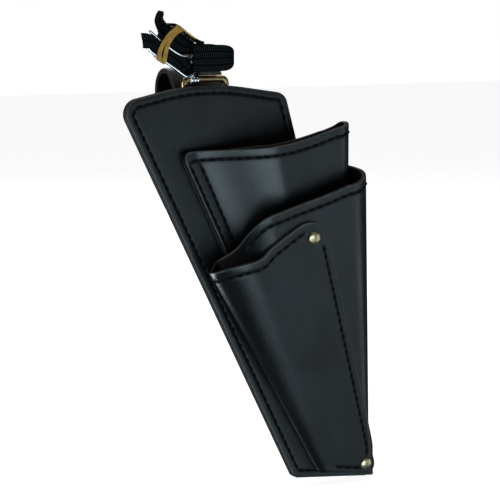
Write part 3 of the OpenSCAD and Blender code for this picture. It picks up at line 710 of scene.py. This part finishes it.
def plate_layer(name, outer_y, inner_y, node):
    """One leather layer with round edges and a groove for the seam on its outer face."""
    out, r = np.sign(outer_y - inner_y), EDGE_R
    rings = []  # (distance in from the edge, y, cut, seam)
    for d in reversed(PLATE_RINGS):
        relief = SWELL * bell(d - 2.8, 1.5) - GROOVE * bell(d - SEAM_INSET, 0.7)
        rings.append((d, outer_y + out * relief, 0.0, bell(d - SEAM_INSET, 1.2)))
    rings.append((r, outer_y, 0.0, 0.0))
    for a in EDGE_ANGLES:
        rings.append((r * (1 - np.sin(a)), outer_y - out * r * (1 - np.cos(a)), np.sin(a) ** 2, 0.0))
    for a in EDGE_ANGLES[::-1]:
        rings.append((r * (1 - np.sin(a)), inner_y + out * r * (1 - np.cos(a)), np.sin(a) ** 2, 0.0))
    rings.append((r, inner_y, 0.0, 0.0))
    lines = np.array([outline(d) for d, *_ in rings])
    count = lines.shape[1]
    edge, y, cut, seam = np.repeat(np.array(rings, float), count, 0).T
    verts = np.stack([lines[..., 0].ravel(), y, lines[..., 1].ravel()], -1)
    faces = grid_faces(len(rings), count, wrap=True, flip=out > 0).tolist()
    first, last = list(range(count)), list(range((len(rings) - 1) * count, len(rings) * count))
    faces += [first[::-1], last] if out > 0 else [first, last[::-1]]
    layers = {"cut": cut, "seam": seam, "edge": edge, "flesh": 0 * cut}
    make(name, verts, faces, "case", PLATE_LEATHER, [node], layers)


LAYER_GAP = 0.02
plate_layer("plate_front_layer", 0.0, LAYER_T - LAYER_GAP, "front_panel")
plate_layer("plate_rear_layer", 2 * LAYER_T, LAYER_T + LAYER_GAP, "rear_lining")


def plate_row(y, out):
    line = outline(SEAM_INSET)
    line = np.concatenate([line, line[:1]])
    points = np.stack([line[:, 0], np.full(len(line), y), line[:, 1]], -1)
    return points, np.broadcast_to([0.0, out, 0.0], points.shape)


stitches("plate_stitches", [plate_row(0, -1), plate_row(2 * LAYER_T, 1)], "perimeter_thread")


# ---------------- pockets
def marks(*parts):
    """Places around a pocket, from (start, end, count) parts."""
    return np.unique(np.round(np.concatenate([np.linspace(a, b, n) for a, b, n in parts]), 6))


FAR = 9.0  # added to a seam's distance where that seam has ended


def mouth_distance(rim, u, z, low, high):
    off = np.where((u < low) | (u > high), FAR, 0.0)
    return np.abs(z - (rim(u) - MOUTH_INSET)) + off


def rear_seams(u, z):
    reach = np.where(u < 0.08, u * 100, 8 + (u - 0.08) * 180)
    side = np.minimum(np.abs(reach - 2.5), np.abs(reach - 9.44))
    side = side + np.where(z > rear_rim(u) - MOUTH_INSET, FAR, 0)
    return np.minimum(side, mouth_distance(rear_rim, u, z, 0.02, 0.555))


rear_marks = np.concatenate([
    np.array([0, 0.8, 1.4, 1.9, 2.2, 2.5, 2.8, 3.1, 3.6, 4.6, 6.0, 7.2]) / 100,
    0.08 + np.array([0, 0.5, 0.9, 1.2, 1.44, 1.7, 2.0, 2.5, 3.4]) / 180,
    marks((0.11, 0.48, 40), (0.49, 0.6, 24), (0.615, 0.985, 34), (0.992, 1, 2))])
leather_sheet("rear_pocket_leather", rear_path, rear_foot, rear_rim, rear_marks, heights(46), rear_seams,
              "rear_pocket")


def middle_seams(u, z):
    return mouth_distance(middle_rim, u, z, 0.19, 0.845)


middle_marks = marks((0, 0.055, 5), (0.065, 0.35, 34), (0.365, 0.69, 26), (0.7, 0.86, 30), (0.88, 1, 5))
leather_sheet("middle_pocket_leather", middle_path, middle_foot, middle_rim, middle_marks, heights(60),
              middle_seams, "middle_pocket")


def front_seams(u, z):
    x, _ = front_path(u, z)
    side = np.abs(front_edge(z) - x - SIDE_INSET) + np.where((u < 0.5) | (z > -103) | (z < -254), FAR, 0)
    bottom = np.abs(z - (front_foot(u) + SEAM_INSET)) + np.where((u < 0.42) | (u > 0.8), FAR, 0)
    return np.minimum(np.minimum(side, bottom), mouth_distance(front_rim, u, z, 0.09, 0.835))


front_marks = marks((0, 0.06, 4), (0.07, 0.4, 60), (0.415, 0.82, 40), (0.825, 1, 46))
leather_sheet("front_pocket_leather", front_path, front_foot, front_rim, front_marks, heights(60),
              front_seams, "front_pocket")

# the welt between the rear pocket's walls
welt_z = np.linspace(REAR_FOOT_Z, -52, 70)
welt_x = np.array([0, 0.9, 2.5, 4.5, 5.6, 6.5])
welt = np.stack(np.broadcast_arrays(
    rear_left(welt_z)[None] + 0.3 + welt_x[:, None], -(LIFT + WALL_T + GAP + WELT_T / 2), welt_z[None]), -1)
FORWARD = [0.0, -1.0, 0.0]
welt_verts, welt_faces, welt_layers = slab(welt, np.broadcast_to(FORWARD, welt.shape), WELT_T, 0.45)
welt_layers["edge"] = np.full(len(welt_verts), 3.0)
welt_layers["seam"] = np.zeros(len(welt_verts))
make("rear_pocket_welt_leather", welt_verts, welt_faces, "case", STRAP_LEATHER,
     ["rear_pocket_welt"], welt_layers)


def row_on(path, u, z):
    """Points and normals of a thread row just under a wall's outer face."""
    points, normals = surface(path, u, z)
    return points + normals * (HALF_T - ROW_SINK), normals


z_side = np.linspace(-52, -174, 90)
u_mouth = np.linspace(0.035, 0.55, 160)
stitches("rear_pocket_stitches", [
    row_on(rear_path, 0.025 + 0 * z_side, z_side), row_on(rear_path, 0.088 + 0 * z_side, z_side),
    row_on(rear_path, u_mouth, rear_rim(u_mouth) - MOUTH_INSET)], "rear_pocket_thread")
u_mouth = np.concatenate([np.linspace(0.2, 0.69, 100), np.linspace(0.7, 0.84, 80)])
stitches("middle_pocket_stitches", [row_on(middle_path, u_mouth, middle_rim(u_mouth) - MOUTH_INSET)],
         "middle_pocket_thread")
u_mouth, u_foot = np.linspace(0.1, 0.83, 220), np.linspace(0.42, 0.8, 90)
z_side = np.linspace(-103, -254, 160)
u_side = 0.4 + 0.6 * (front_edge(z_side) - SIDE_INSET - front_start(z_side)) / (
    front_edge(z_side) - front_start(z_side))
stitches("front_pocket_stitches", [
    row_on(front_path, u_mouth, front_rim(u_mouth) - MOUTH_INSET), row_on(front_path, u_side, z_side),
    row_on(front_path, u_foot, front_foot(u_foot) + SEAM_INSET)], "front_pocket_thread")
# the seam that holds both pockets' left margins to the plate has thinner, shorter stitches
z_side = np.linspace(-124, -262, 80)
inner_row = np.stack([
    middle_left(z_side) + MARGIN_W - 1.6, np.full_like(z_side, -(TAB_SEAT + HALF_T)), z_side], -1)
stitches("left_seam_stitches", [(inner_row, np.broadcast_to(FORWARD, inner_row.shape))],
         "left_seam_thread", length=4.5, radius=0.45)


# ---------------- belt loop and the ring's tab
def side_strip(name, line, t, x0, x1, node, r=0.5):
    """Leather strip that follows a line of (y, z) points, from x0 to x1."""
    line = np.asarray(line, float)
    s = along(line)
    even = np.concatenate([
        [0, 0.8], np.linspace(1.6, s[-1] - 1.6, int(s[-1] / 1.2)), [s[-1] - 0.8, s[-1]]])
    y, z = np.interp(even, s, line[:, 0]), np.interp(even, s, line[:, 1])
    for _ in range(3):
        y[1:-1] = (y[:-2] + 2 * y[1:-1] + y[2:]) / 4
        z[1:-1] = (z[:-2] + 2 * z[1:-1] + z[2:]) / 4
    ty, tz = np.gradient(y), np.gradient(z)
    long = np.hypot(ty, tz)
    left = np.maximum(x0, plate_left(z) + LEG_MARGIN)
    w = x1 - x0
    across = np.concatenate([[0, 0.9, 2.0], np.linspace(3.2, w - 3.2, 14), [w - 2.0, w - 0.9, w]])
    share = across[:, None] / w
    grid = np.stack(np.broadcast_arrays(lerp(left[None], x1, share), y[None], z[None]), -1)
    inner = np.stack(np.broadcast_arrays(0.0 * across[:, None], (tz / long)[None], (-ty / long)[None]), -1)
    verts, faces, layers = slab(grid, -inner, t, r)
    inside = np.minimum(across, across[::-1])[:, None] + 0 * y[None]
    rest = len(verts) - 2 * inside.size
    layers["edge"] = np.concatenate([inside.ravel(), inside.ravel(), np.zeros(rest)])
    layers["seam"] = np.zeros(len(verts))
    make(name, verts, faces, "case", STRAP_LEATHER, [node], layers)


def loop_line():
    k = np.linspace(0, 1, 24)
    a = np.radians(115 - 115 * k)
    parts = [
        [(LEG_Y, END_Z), (LEG_Y, -50)],
        np.stack([lerp(LEG_Y, STAND_Y, ease(k)), lerp(-48, -34, k)], -1),
        [(STAND_Y, -4)],
        np.stack([30.5 + 12.9 * np.cos(a), -5 + 13.4 * np.sin(a)], -1),
        [(REAR_Y, -19)],
        np.stack([lerp(REAR_Y, LEG_Y + LOOP_T + GAP, ease(k)), lerp(-24, JOIN_Z, k)], -1),
        [(LEG_Y + LOOP_T + GAP, END_Z)]]
    return np.concatenate([np.asarray(p, float) for p in parts])


side_strip("belt_loop_leather", loop_line(), LOOP_T, PASSAGE_X - LOOP_W / 2, PASSAGE_X + LOOP_W / 2,
           "belt_loop")


def tab_line():
    a, k = np.linspace(0, np.pi, 24), np.linspace(0.05, 1, 14)
    near, far = 2 * LAYER_T + GAP + TAB_T / 2, 2 * LAYER_T + 2 * GAP + 1.5 * TAB_T
    return np.concatenate([
        [(near, -40.0)],
        np.stack([RING_Y - TAB_WRAP * np.cos(a), RING_LOW + TAB_WRAP * np.sin(a)], -1),
        np.stack([lerp(RING_Y + TAB_WRAP, far, ease(k)), RING_LOW - 1.5 - 6.5 * k], -1),
        [(far, -40.0)]])


side_strip("ring_tab_leather", tab_line(), TAB_T, RING_X - TAB_HALF_W, RING_X + TAB_HALF_W, "ring_tab", 0.3)


# ---------------- hardware
def bend(keys, step):
    """Rows of values joined smoothly, sampled every step along their first three columns."""
    keys = np.asarray(keys, float)
    s = along(keys[:, :3])
    at = np.linspace(0, s[-1], max(int(s[-1] / step), 4) + 1)
    return np.stack([curve(list(zip(s, k)), at) for k in keys.T], -1)


def sweep(line, side, section, closed=False):
    """Tube along a line; section holds (across, out) offsets, side points across at each place."""
    line, count = np.asarray(line, float), len(section)
    if closed:
        tangent = unit(np.roll(line, -1, 0) - np.roll(line, 1, 0))
    else:
        tangent = unit(np.gradient(line, axis=0))
    side = unit(side - (side * tangent).sum(-1, keepdims=True) * tangent)
    out = np.cross(tangent, side)
    section = np.asarray(section, float)
    rings = line[:, None] + side[:, None] * section[None, :, :1] + out[:, None] * section[None, :, 1:]
    faces = grid_faces(len(line), count, wrap=True, flip=True).tolist()
    if closed:
        j = np.arange(count)
        last, k = (len(line) - 1) * count, (j + 1) % count
        faces += np.stack([last + j, last + k, k, j], -1).tolist()
    else:
        faces += [list(range(count)), [len(line) * count - 1 - j for j in range(count)]]
    return rings.reshape(-1, 3), faces


def round_section(r, sides=14):
    a = circle(sides)
    return np.stack([r * np.cos(a), r * np.sin(a)], -1)


def flat_section(w, t, sides=20, power=0.35):
    a = circle(sides)
    c, s = np.cos(a), np.sin(a)
    return np.stack([w / 2 * np.sign(c) * np.abs(c) ** power, t / 2 * np.sign(s) * np.abs(s) ** power], -1)


def steady_side(line, closed=False):
    """Side directions that do not twist along a line."""
    tangent = unit(np.roll(line, -1, 0) - np.roll(line, 1, 0)) if closed else unit(np.gradient(line, axis=0))
    side = np.cross(tangent[0], (0.31, 0.2, 0.93))
    sides = []
    for t in tangent:
        side = unit(side - np.dot(side, t) * t)
        sides.append(side)
    return np.array(sides)


def join_parts(parts):
    verts, faces, first = [], [], 0
    for v, f in parts:
        verts.append(v)
        faces += [[first + i for i in q] for q in f]
        first += len(v)
    return np.concatenate(verts), faces


def wire(keys, r):
    line = bend(keys, 0.4)
    return sweep(line, steady_side(line), round_section(r))


def washer(centre, r, y0, y1):
    """Flat disc with round rims, its axis along y; centre is its (x, z)."""
    rim, bevel, core, sides = 0.25, 0.07, 0.2, 28
    a = circle(sides)
    places = [(core, y0), (r - rim, y0), (r - bevel, y0 + bevel), (r, y0 + rim),
              (r, y1 - rim), (r - bevel, y1 - bevel), (r - rim, y1), (core, y1)]
    rings = [np.stack([centre[0] + q * np.cos(a), np.full(sides, y), centre[1] + q * np.sin(a)], -1)
             for q, y in places]
    faces = grid_faces(len(places), sides, wrap=True, flip=True).tolist()
    faces += [list(range(sides))[::-1], [(len(places) - 1) * sides + j for j in range(sides)]]
    return np.concatenate(rings), faces


# the hook's window: its lower front corner, the way along its lower wire and the way over it
WINDOW = np.array([-10, 0, 6.6])
ALONG, OVER = np.array([-0.8434, 0, 0.5373]), np.array([0.5373, 0, 0.8434])


def window(run, up, y=0.0):
    """Point beside the hook: run along its lower wire, up over it, y behind it."""
    return WINDOW + ALONG * run + OVER * up + np.array([0, y, 0])


HOOK_R, GATE_R, EYE_X, EYE_PITCH = 1.0, 0.9, -2.5, 2.05
EYE_R = RING_WIRE / 2 + 0.35 + HOOK_R
PIVOT, CHEEK_R = window(0, 10.4), 2.0
NOSE = window(37, 10.4) - np.array([0, 0, 0.4])

# the eye: three turns of wire round the ring's top bar
turns = []
for k in range(3):
    a = circle(48)
    turn = np.stack([EYE_X + EYE_PITCH * k + 0.18 * np.sin(a), RING_Y - EYE_R * np.cos(a),
                     RING_TOP + EYE_R * np.sin(a)], -1)
    turns.append(sweep(turn, steady_side(turn, True), round_section(HOOK_R), True))
eye_front = (EYE_X, RING_Y - EYE_R * 0.82, RING_TOP + EYE_R * 0.57)
frame_keys = [eye_front, (-2.9, 3.2, 6.6), (-4.6, 0.6, 6.9), (-7.4, 0, 5.7), (-10.4, 0, 6.0),
              (-17.4, 0, 10.8), (-24.6, 0, 15.4), (-31, 0, 19.6), (-34.8, 0, 22.3), (-36.2, 0, 24.2),
              (-36.2, 0, 27), (-35.8, 0, 30.6), (-35.6, 0, 32.3)]
riser_keys = [(-3.6, 1.2, 6.8), (-3.1, 1.5, 9.0), (-3.1, 1.4, 12.2), (-3.8, 1.25, 14.6)]
hook_verts, hook_faces = join_parts(turns + [
    wire(frame_keys, HOOK_R), wire(riser_keys, GATE_R), washer(PIVOT[[0, 2]], CHEEK_R, 0.75, 1.65)])
make("hook_wire", hook_verts, hook_faces, "hook", CHROME, ["hook_frame"])
gate_keys = [PIVOT + (-0.2, 0, 1.4), (-5.0, 0, 17.9), (-6.6, 0, 18.4), (-9.8, 0, 18.5), (-13.3, 0, 19.3),
             (-17.5, 0, 21.4), (-23.3, 0, 25.3), (-28.2, 0, 29.0), (-33, 0, 33.0), NOSE]
gate_verts, gate_faces = join_parts([
    wire(gate_keys, GATE_R), wire([(-6.2, 0, 18.3), (-8.2, 0, 18.5), (-11.2, 0, 18.7)], 1.3),
    washer(PIVOT[[0, 2]], CHEEK_R, -0.75, 0.6)])
make("hook_gate_wire", gate_verts, gate_faces, "gate", CHROME, ["hook_gate"])

# ---------------- webbing
RIB_PITCH, RIB_ROWS = 1.45, 4


def webbing(name, keys, t, ribs=0.2, step=0.29, cross_step=0.55, nodes=()):
    """Ribbed strap along keys of (x, y, z, width, width direction), its ribs in staggered rows."""
    fine = bend(keys, step)
    rows = np.concatenate([[0], np.arange(2, len(fine) - 2), [len(fine) - 1]])
    line, width, side = fine[rows, :3], fine[rows, 3], fine[rows, 4:7]
    tangent = unit(np.gradient(line, axis=0))
    side = unit(side - (side * tangent).sum(-1, keepdims=True) * tangent)
    normal = np.cross(side, tangent)
    s = along(line)
    half = width.max() / 2
    inner = np.linspace(-half + 0.5, half - 0.5, max(int(2 * half / cross_step), 6))
    across = np.concatenate([[-half], inner, [half]])
    points = line[None] + side[None] * (across[:, None] * (width / width.max()))[..., None]
    normals = np.broadcast_to(normal[None], points.shape)
    share = (across + half) / (2 * half)
    row = np.floor(share * (RIB_ROWS - 0.001))
    edge_fade = np.clip((half - np.abs(across)) / 0.7, 0, 1)
    groove = (np.abs(share * RIB_ROWS % 1 - 0.5) < 0.42).astype(float)
    phase = 2 * np.pi * s[None] / RIB_PITCH + np.pi * (row % 2)[:, None]
    relief = ribs * (np.abs(np.cos(phase / 2)) ** 0.7 * groove[:, None] - 0.4) * edge_fade[:, None]
    verts, faces, _ = slab(points, normals, t, 0.3, relief, relief)
    # rib holds the relief height; the material paints the tops as highlight and the grooves as shade
    rib = (relief / ribs + 0.4).ravel()
    rest = np.full(len(verts) - 2 * len(rib), 0.3)
    make(name, verts, faces, "hook", WEBBING, nodes,
         {"rib": np.concatenate([rib, rib, rest])})


UP, IN = (0, 0, 1), (0, 1, 0)
ROLL_X, ROLL_Y, ROLL_R, ROLL_Z = 16.8, 5.5, 8.7, 17.1
roll = [(-6.8, -3.2, ROLL_Z, 17.2), (-2, -3.25, ROLL_Z, 17.3), (6, -3.3, ROLL_Z, 17.2),
        (12, -3.25, ROLL_Z, 17.0)]
for angle, width in ((-90, 16.4), (-65, 14.4), (-40, 10.6), (-15, 5.6),
                     (15, 4.6), (40, 9.6), (65, 13.8), (90, 16.4)):
    a = np.radians(angle)
    roll.append((ROLL_X + ROLL_R * np.cos(a), ROLL_Y + ROLL_R * np.sin(a), ROLL_Z, width))
roll += [(10, 14.2, ROLL_Z, 17), (3, 14.1, ROLL_Z, 17), (-3, 13.7, ROLL_Z, 16.6)]
webbing("webbing_roll", [(*k, *UP) for k in roll], 1.5, nodes=["webbing_belt"])


def lying(points, width):
    """Keys of a ply that faces the front; its width stands square to its line."""
    points = np.asarray(points, float)
    tangent = unit(np.gradient(points, axis=0))
    share = np.interp(points[:, 0], (-6, 18), (1, 0.74))
    return [(*p, width * k, -t[2], 0, t[0]) for p, t, k in zip(points, -tangent, share)]


for k, (y, up) in enumerate(((3.3, 10.4), (5.1, 13.2), (6.9, 10.2), (8.7, 13.4), (10.5, 11.4))):
    end = 27.4 - 0.9 * (k % 2) - 0.4 * k
    ply = [(18.5 - k % 2, y, 17.2), (12, y, 17), (5, y, 17.2), (0.5, y, 17.9), window(0.5, up - 1.2, y),
           window(6, up, y), window(14, up, y), window(end - 3, up, y), window(end, up - 0.4, y)]
    webbing("webbing_ply_%d" % (k + 1), lying(ply, 19 if k == 0 else 17), 1.35, 0.16, 0.33, 0.7)

# the loop round the hook's end bar
loop = [(*window(10, 5.2, 1.6), 7.6), (*window(16, 5.2, 0.9), 7.8), (*window(23, 5.2, -0.4), 8),
        (*window(28, 4.9, -1.3), 7.8), (-34.6, -1.66, 28.1, 8.5), (-36.9, -1.66, 28.6, 9.1),
        (-39.3, -1.1, 29.0, 9.6), (-39.9, 0, 29.1, 9.4), (-39.3, 1.1, 29.0, 9.6),
        (-37.2, 1.75, 28.6, 9.4), (-34.6, 1.8, 28.0, 9), (*window(27, 4.9, 1.75), 8),
        (*window(20, 5.2, 1.65), 7.8)]
loop_dirs = [OVER, OVER, OVER, OVER + UP] + [(-0.2, 0, 1)] * 7 + [OVER + UP, OVER]
webbing("webbing_loop", [(*k, *unit(np.asarray(d, float))) for k, d in zip(loop, loop_dirs)], 1.1, 0.14)

# the fold over the plies and the free tail
hump = [(-24.2, 7, 33.6), (-22.4, 7, 36.4), (-19.8, 7, 38.4), (-15.6, 7, 38.4), (-11.6, 7, 36.2),
        (-6.4, 7, 32.2), (-1.8, 7, 29.2), (1.6, 7.1, 27.6), (4.4, 7.2, 26.8)]
webbing("webbing_fold", [(*p, 8.8, *IN) for p in hump], 1.5)
tail_dir = (0.97, -0.1, 0.2)
tail = [(-21.4, 6.0, 33.0, 7), (-22.8, 6.3, 35.8, 7.4), (-24.2, 6.8, 38.4, 7), (-25.2, 7.2, 41, 6.2),
        (-25.4, 6.8, 43.4, 5.2), (-25.0, 6.0, 45.6, 4.6), (-24.6, 6.4, 47.2, 3.4)]
webbing("webbing_tail", [(*k, *tail_dir) for k in tail], 1.5, 0.22)

# two bar tacks across the loop
tacks = []
for x in (-34.4, -33.4):
    z = np.linspace(25.2, 30.2, 12)
    line = np.stack([x + 0 * z, np.full_like(z, -2.2), z], -1)
    tacks.append((line, np.broadcast_to(FORWARD, line.shape)))
stitches("webbing_stitches", tacks, "webbing_thread", "hook", 1.2, 1.0, 0.28, 0.0)

# ---------------- rubber band
# wound twice; keys are (run, up, y) beside the hook
BAND_W, BAND_T = 2.8, 1.0
band_keys = [
    (20.8, -0.3, 5.5), (21, -1.7, 1.4), (21.4, -2.1, -1.1), (22.8, -1.0, -2.95), (24.8, 2.0, -3.05),
    (25.5, 8.3, -3.05), (24.6, 15.6, -3.1), (22.4, 20.6, -2.5), (21.2, 23.1, -0.6), (20.2, 23.7, 2.4),
    (19.4, 23.9, 6), (18.8, 23.4, 10.6), (18.8, 21, 13.1), (19, 10, 13.2), (19.2, 3, 13.0), (19.1, 0.9, 11),
    (18.9, -0.3, 6), (18.7, -1.7, 1.6), (18.7, -2.1, -1.1), (19.3, -0.8, -2.95), (21.6, 5.6, -3.1),
    (22.7, 10, -3.2), (22.2, 16, -3.0), (20.2, 20.6, -2.3), (17.8, 23.1, -0.3), (14.4, 23.5, 1.0),
    (10.6, 23.5, 1.5), (7.8, 23.6, 2.0), (6.2, 23.9, 3.6), (5.9, 24.2, 6), (6.8, 23.6, 10),
    (9.8, 20.4, 12.6), (14.2, 9, 12.9), (18, 3.2, 12.8), (20.2, 0.9, 10.4)]
ring_keys = np.array([window(*k) for k in band_keys])
closed_keys = np.concatenate([ring_keys[-2:], ring_keys, ring_keys[:3]])
s = along(closed_keys)
at = np.linspace(s[2], s[len(ring_keys) + 2], 420, endpoint=False)
band_line = np.stack([curve(list(zip(s, k)), at) for k in closed_keys.T], -1)
run_at = (band_line - WINDOW) @ ALONG
hank_axis = WINDOW + ALONG * run_at[:, None] + OVER * 10.6 + np.array([0, 5.2, 0])
outward = unit(band_line - hank_axis)
tangent = unit(np.roll(band_line, -1, 0) - np.roll(band_line, 1, 0))
band_verts, band_faces = sweep(band_line, np.cross(outward, tangent), flat_section(BAND_W, BAND_T), True)
make("rubber_band_ribbon", band_verts, band_faces, "band", RUBBER, ["rubber_band"])

# the CAD pieces that stay get their metal
for node, look in {
        "upper_rivet_cap": RIVET, "upper_rivet_post": RIVET,
        "lower_rivet_cap": RIVET, "lower_rivet_post": RIVET,
        "belt_loop_caps": RIVET, "belt_loop_posts": RIVET, "ring_tab_cap": RIVET, "ring_tab_post": RIVET,
        "ring": RING_BRASS, "gate_pin": CHROME}.items():
    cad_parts[node].data.materials.clear()
    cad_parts[node].data.materials.append(look)

# ---------------- floor, light, camera
scene = bpy.context.scene
scene.view_settings.view_transform = "Standard"
low, high = cad_box
centre = (low + high) / 2


def floor_look():
    """Pale matt floor that glows enough to stay as bright as the background."""
    k = Look("pale_floor")
    speck = k.noise(60, 3, 0.6)
    k.bump(k.noise(300, 2), 0.03, 0.0005)
    seen = k.node("LightPath", {}, "Is Camera Ray")
    return k.done(**{"Base Color": k.mix(speck, (0.62, 0.62, 0.62), (0.58, 0.58, 0.58)), "Roughness": 0.9,
                     "Specular IOR Level": 0.0, "Emission Color": (1, 1, 1, 1),
                     "Emission Strength": k.math("MULTIPLY", seen, 0.92)})


floor_z, reach = low.z - 0.0005, 4.0
floor_mesh = bpy.data.meshes.new("floor")
floor_mesh.from_pydata([(x * reach, y * reach, floor_z) for x, y in ((-1, -1), (1, -1), (1, 1), (-1, 1))],
                       [], [(0, 1, 2, 3)])
floor_mesh.materials.append(floor_look())
floor = bpy.data.objects.new("floor", floor_mesh)
scene.collection.objects.link(floor)
# lit like a light table: it neither blocks nor tints the low lights
floor.visible_glossy = floor.visible_diffuse = floor.visible_shadow = False


def view_axis(azimuth, elevation):
    """Unit direction from the object to a light or camera; azimuth 0 is in front of it."""
    a, e = np.radians(azimuth), np.radians(elevation)
    return Vector((np.sin(a) * np.cos(e), -np.cos(a) * np.cos(e), np.sin(e)))


def place(obj, target, back, distance):
    """Puts a light or camera at a distance from the target and aims it there."""
    obj.location = target + back * distance
    obj.rotation_mode = "QUATERNION"
    obj.rotation_quaternion = back.to_track_quat("Z", "Y")
    scene.collection.objects.link(obj)


def area_light(name, azimuth, elevation, distance, size, power, tint=(1, 1, 1)):
    """Soft light aimed at the object, not seen by the camera itself."""
    data = bpy.data.lights.new(name, "AREA")
    data.shape, data.size, data.size_y = "RECTANGLE", size[0], size[1]
    data.energy, data.color = power, tint
    obj = bpy.data.objects.new(name, data)
    obj.visible_camera = False
    place(obj, centre, view_axis(azimuth, elevation), distance)


area_light("front_low", -10, -20, 1.2, (1.15, 0.8), 8.6, (0.7, 0.9, 1.0))
area_light("plate_low", 34, -12, 1.5, (0.35, 0.5), 0.3, (0.82, 0.92, 1.0))
area_light("right_side", 56, -16, 1.2, (0.4, 0.8), 1.6, (0.76, 0.91, 1.0))
area_light("left_rim", -100, 12, 1.4, (0.3, 1.0), 1.6)
area_light("top", -10, 78, 1.3, (1.2, 0.7), 3.6)
area_light("rear_low", 176, -14, 1.5, (1.3, 0.6), 14, (0.84, 0.93, 1.0))
area_light("rear_top", 160, 40, 1.6, (1.2, 1.0), 10)
area_light("rear_side", 250, -6, 1.5, (0.5, 0.9), 5, (0.9, 0.95, 1.0))

# white for the camera, weak and cool for the object
world = bpy.data.worlds.new("studio")
scene.world = world
world.use_nodes = True
world.node_tree.nodes.clear()
rays, lit, seen, either, out = (world.node_tree.nodes.new("ShaderNode" + kind) for kind in (
    "LightPath", "Background", "Background", "MixShader", "OutputWorld"))
seen.inputs[0].default_value = (1, 1, 1, 1)
lit.inputs[0].default_value, lit.inputs[1].default_value = (0.5, 0.52, 0.56, 1), 0.07
for source, socket in ((rays.outputs["Is Camera Ray"], either.inputs[0]), (lit.outputs[0], either.inputs[1]),
                       (seen.outputs[0], either.inputs[2]), (either.outputs[0], out.inputs[0])):
    world.node_tree.links.new(source, socket)

# at the photo's viewing angle
camera = bpy.data.objects.new("camera", bpy.data.cameras.new("camera"))
camera.data.sensor_width, camera.data.lens = 36, 144
camera.data.clip_start, camera.data.clip_end = 0.05, 20
place(camera, Vector(to_row((29.80, -12.22, -107.25))), view_axis(-28, 8), 1.3)
scene.camera = camera
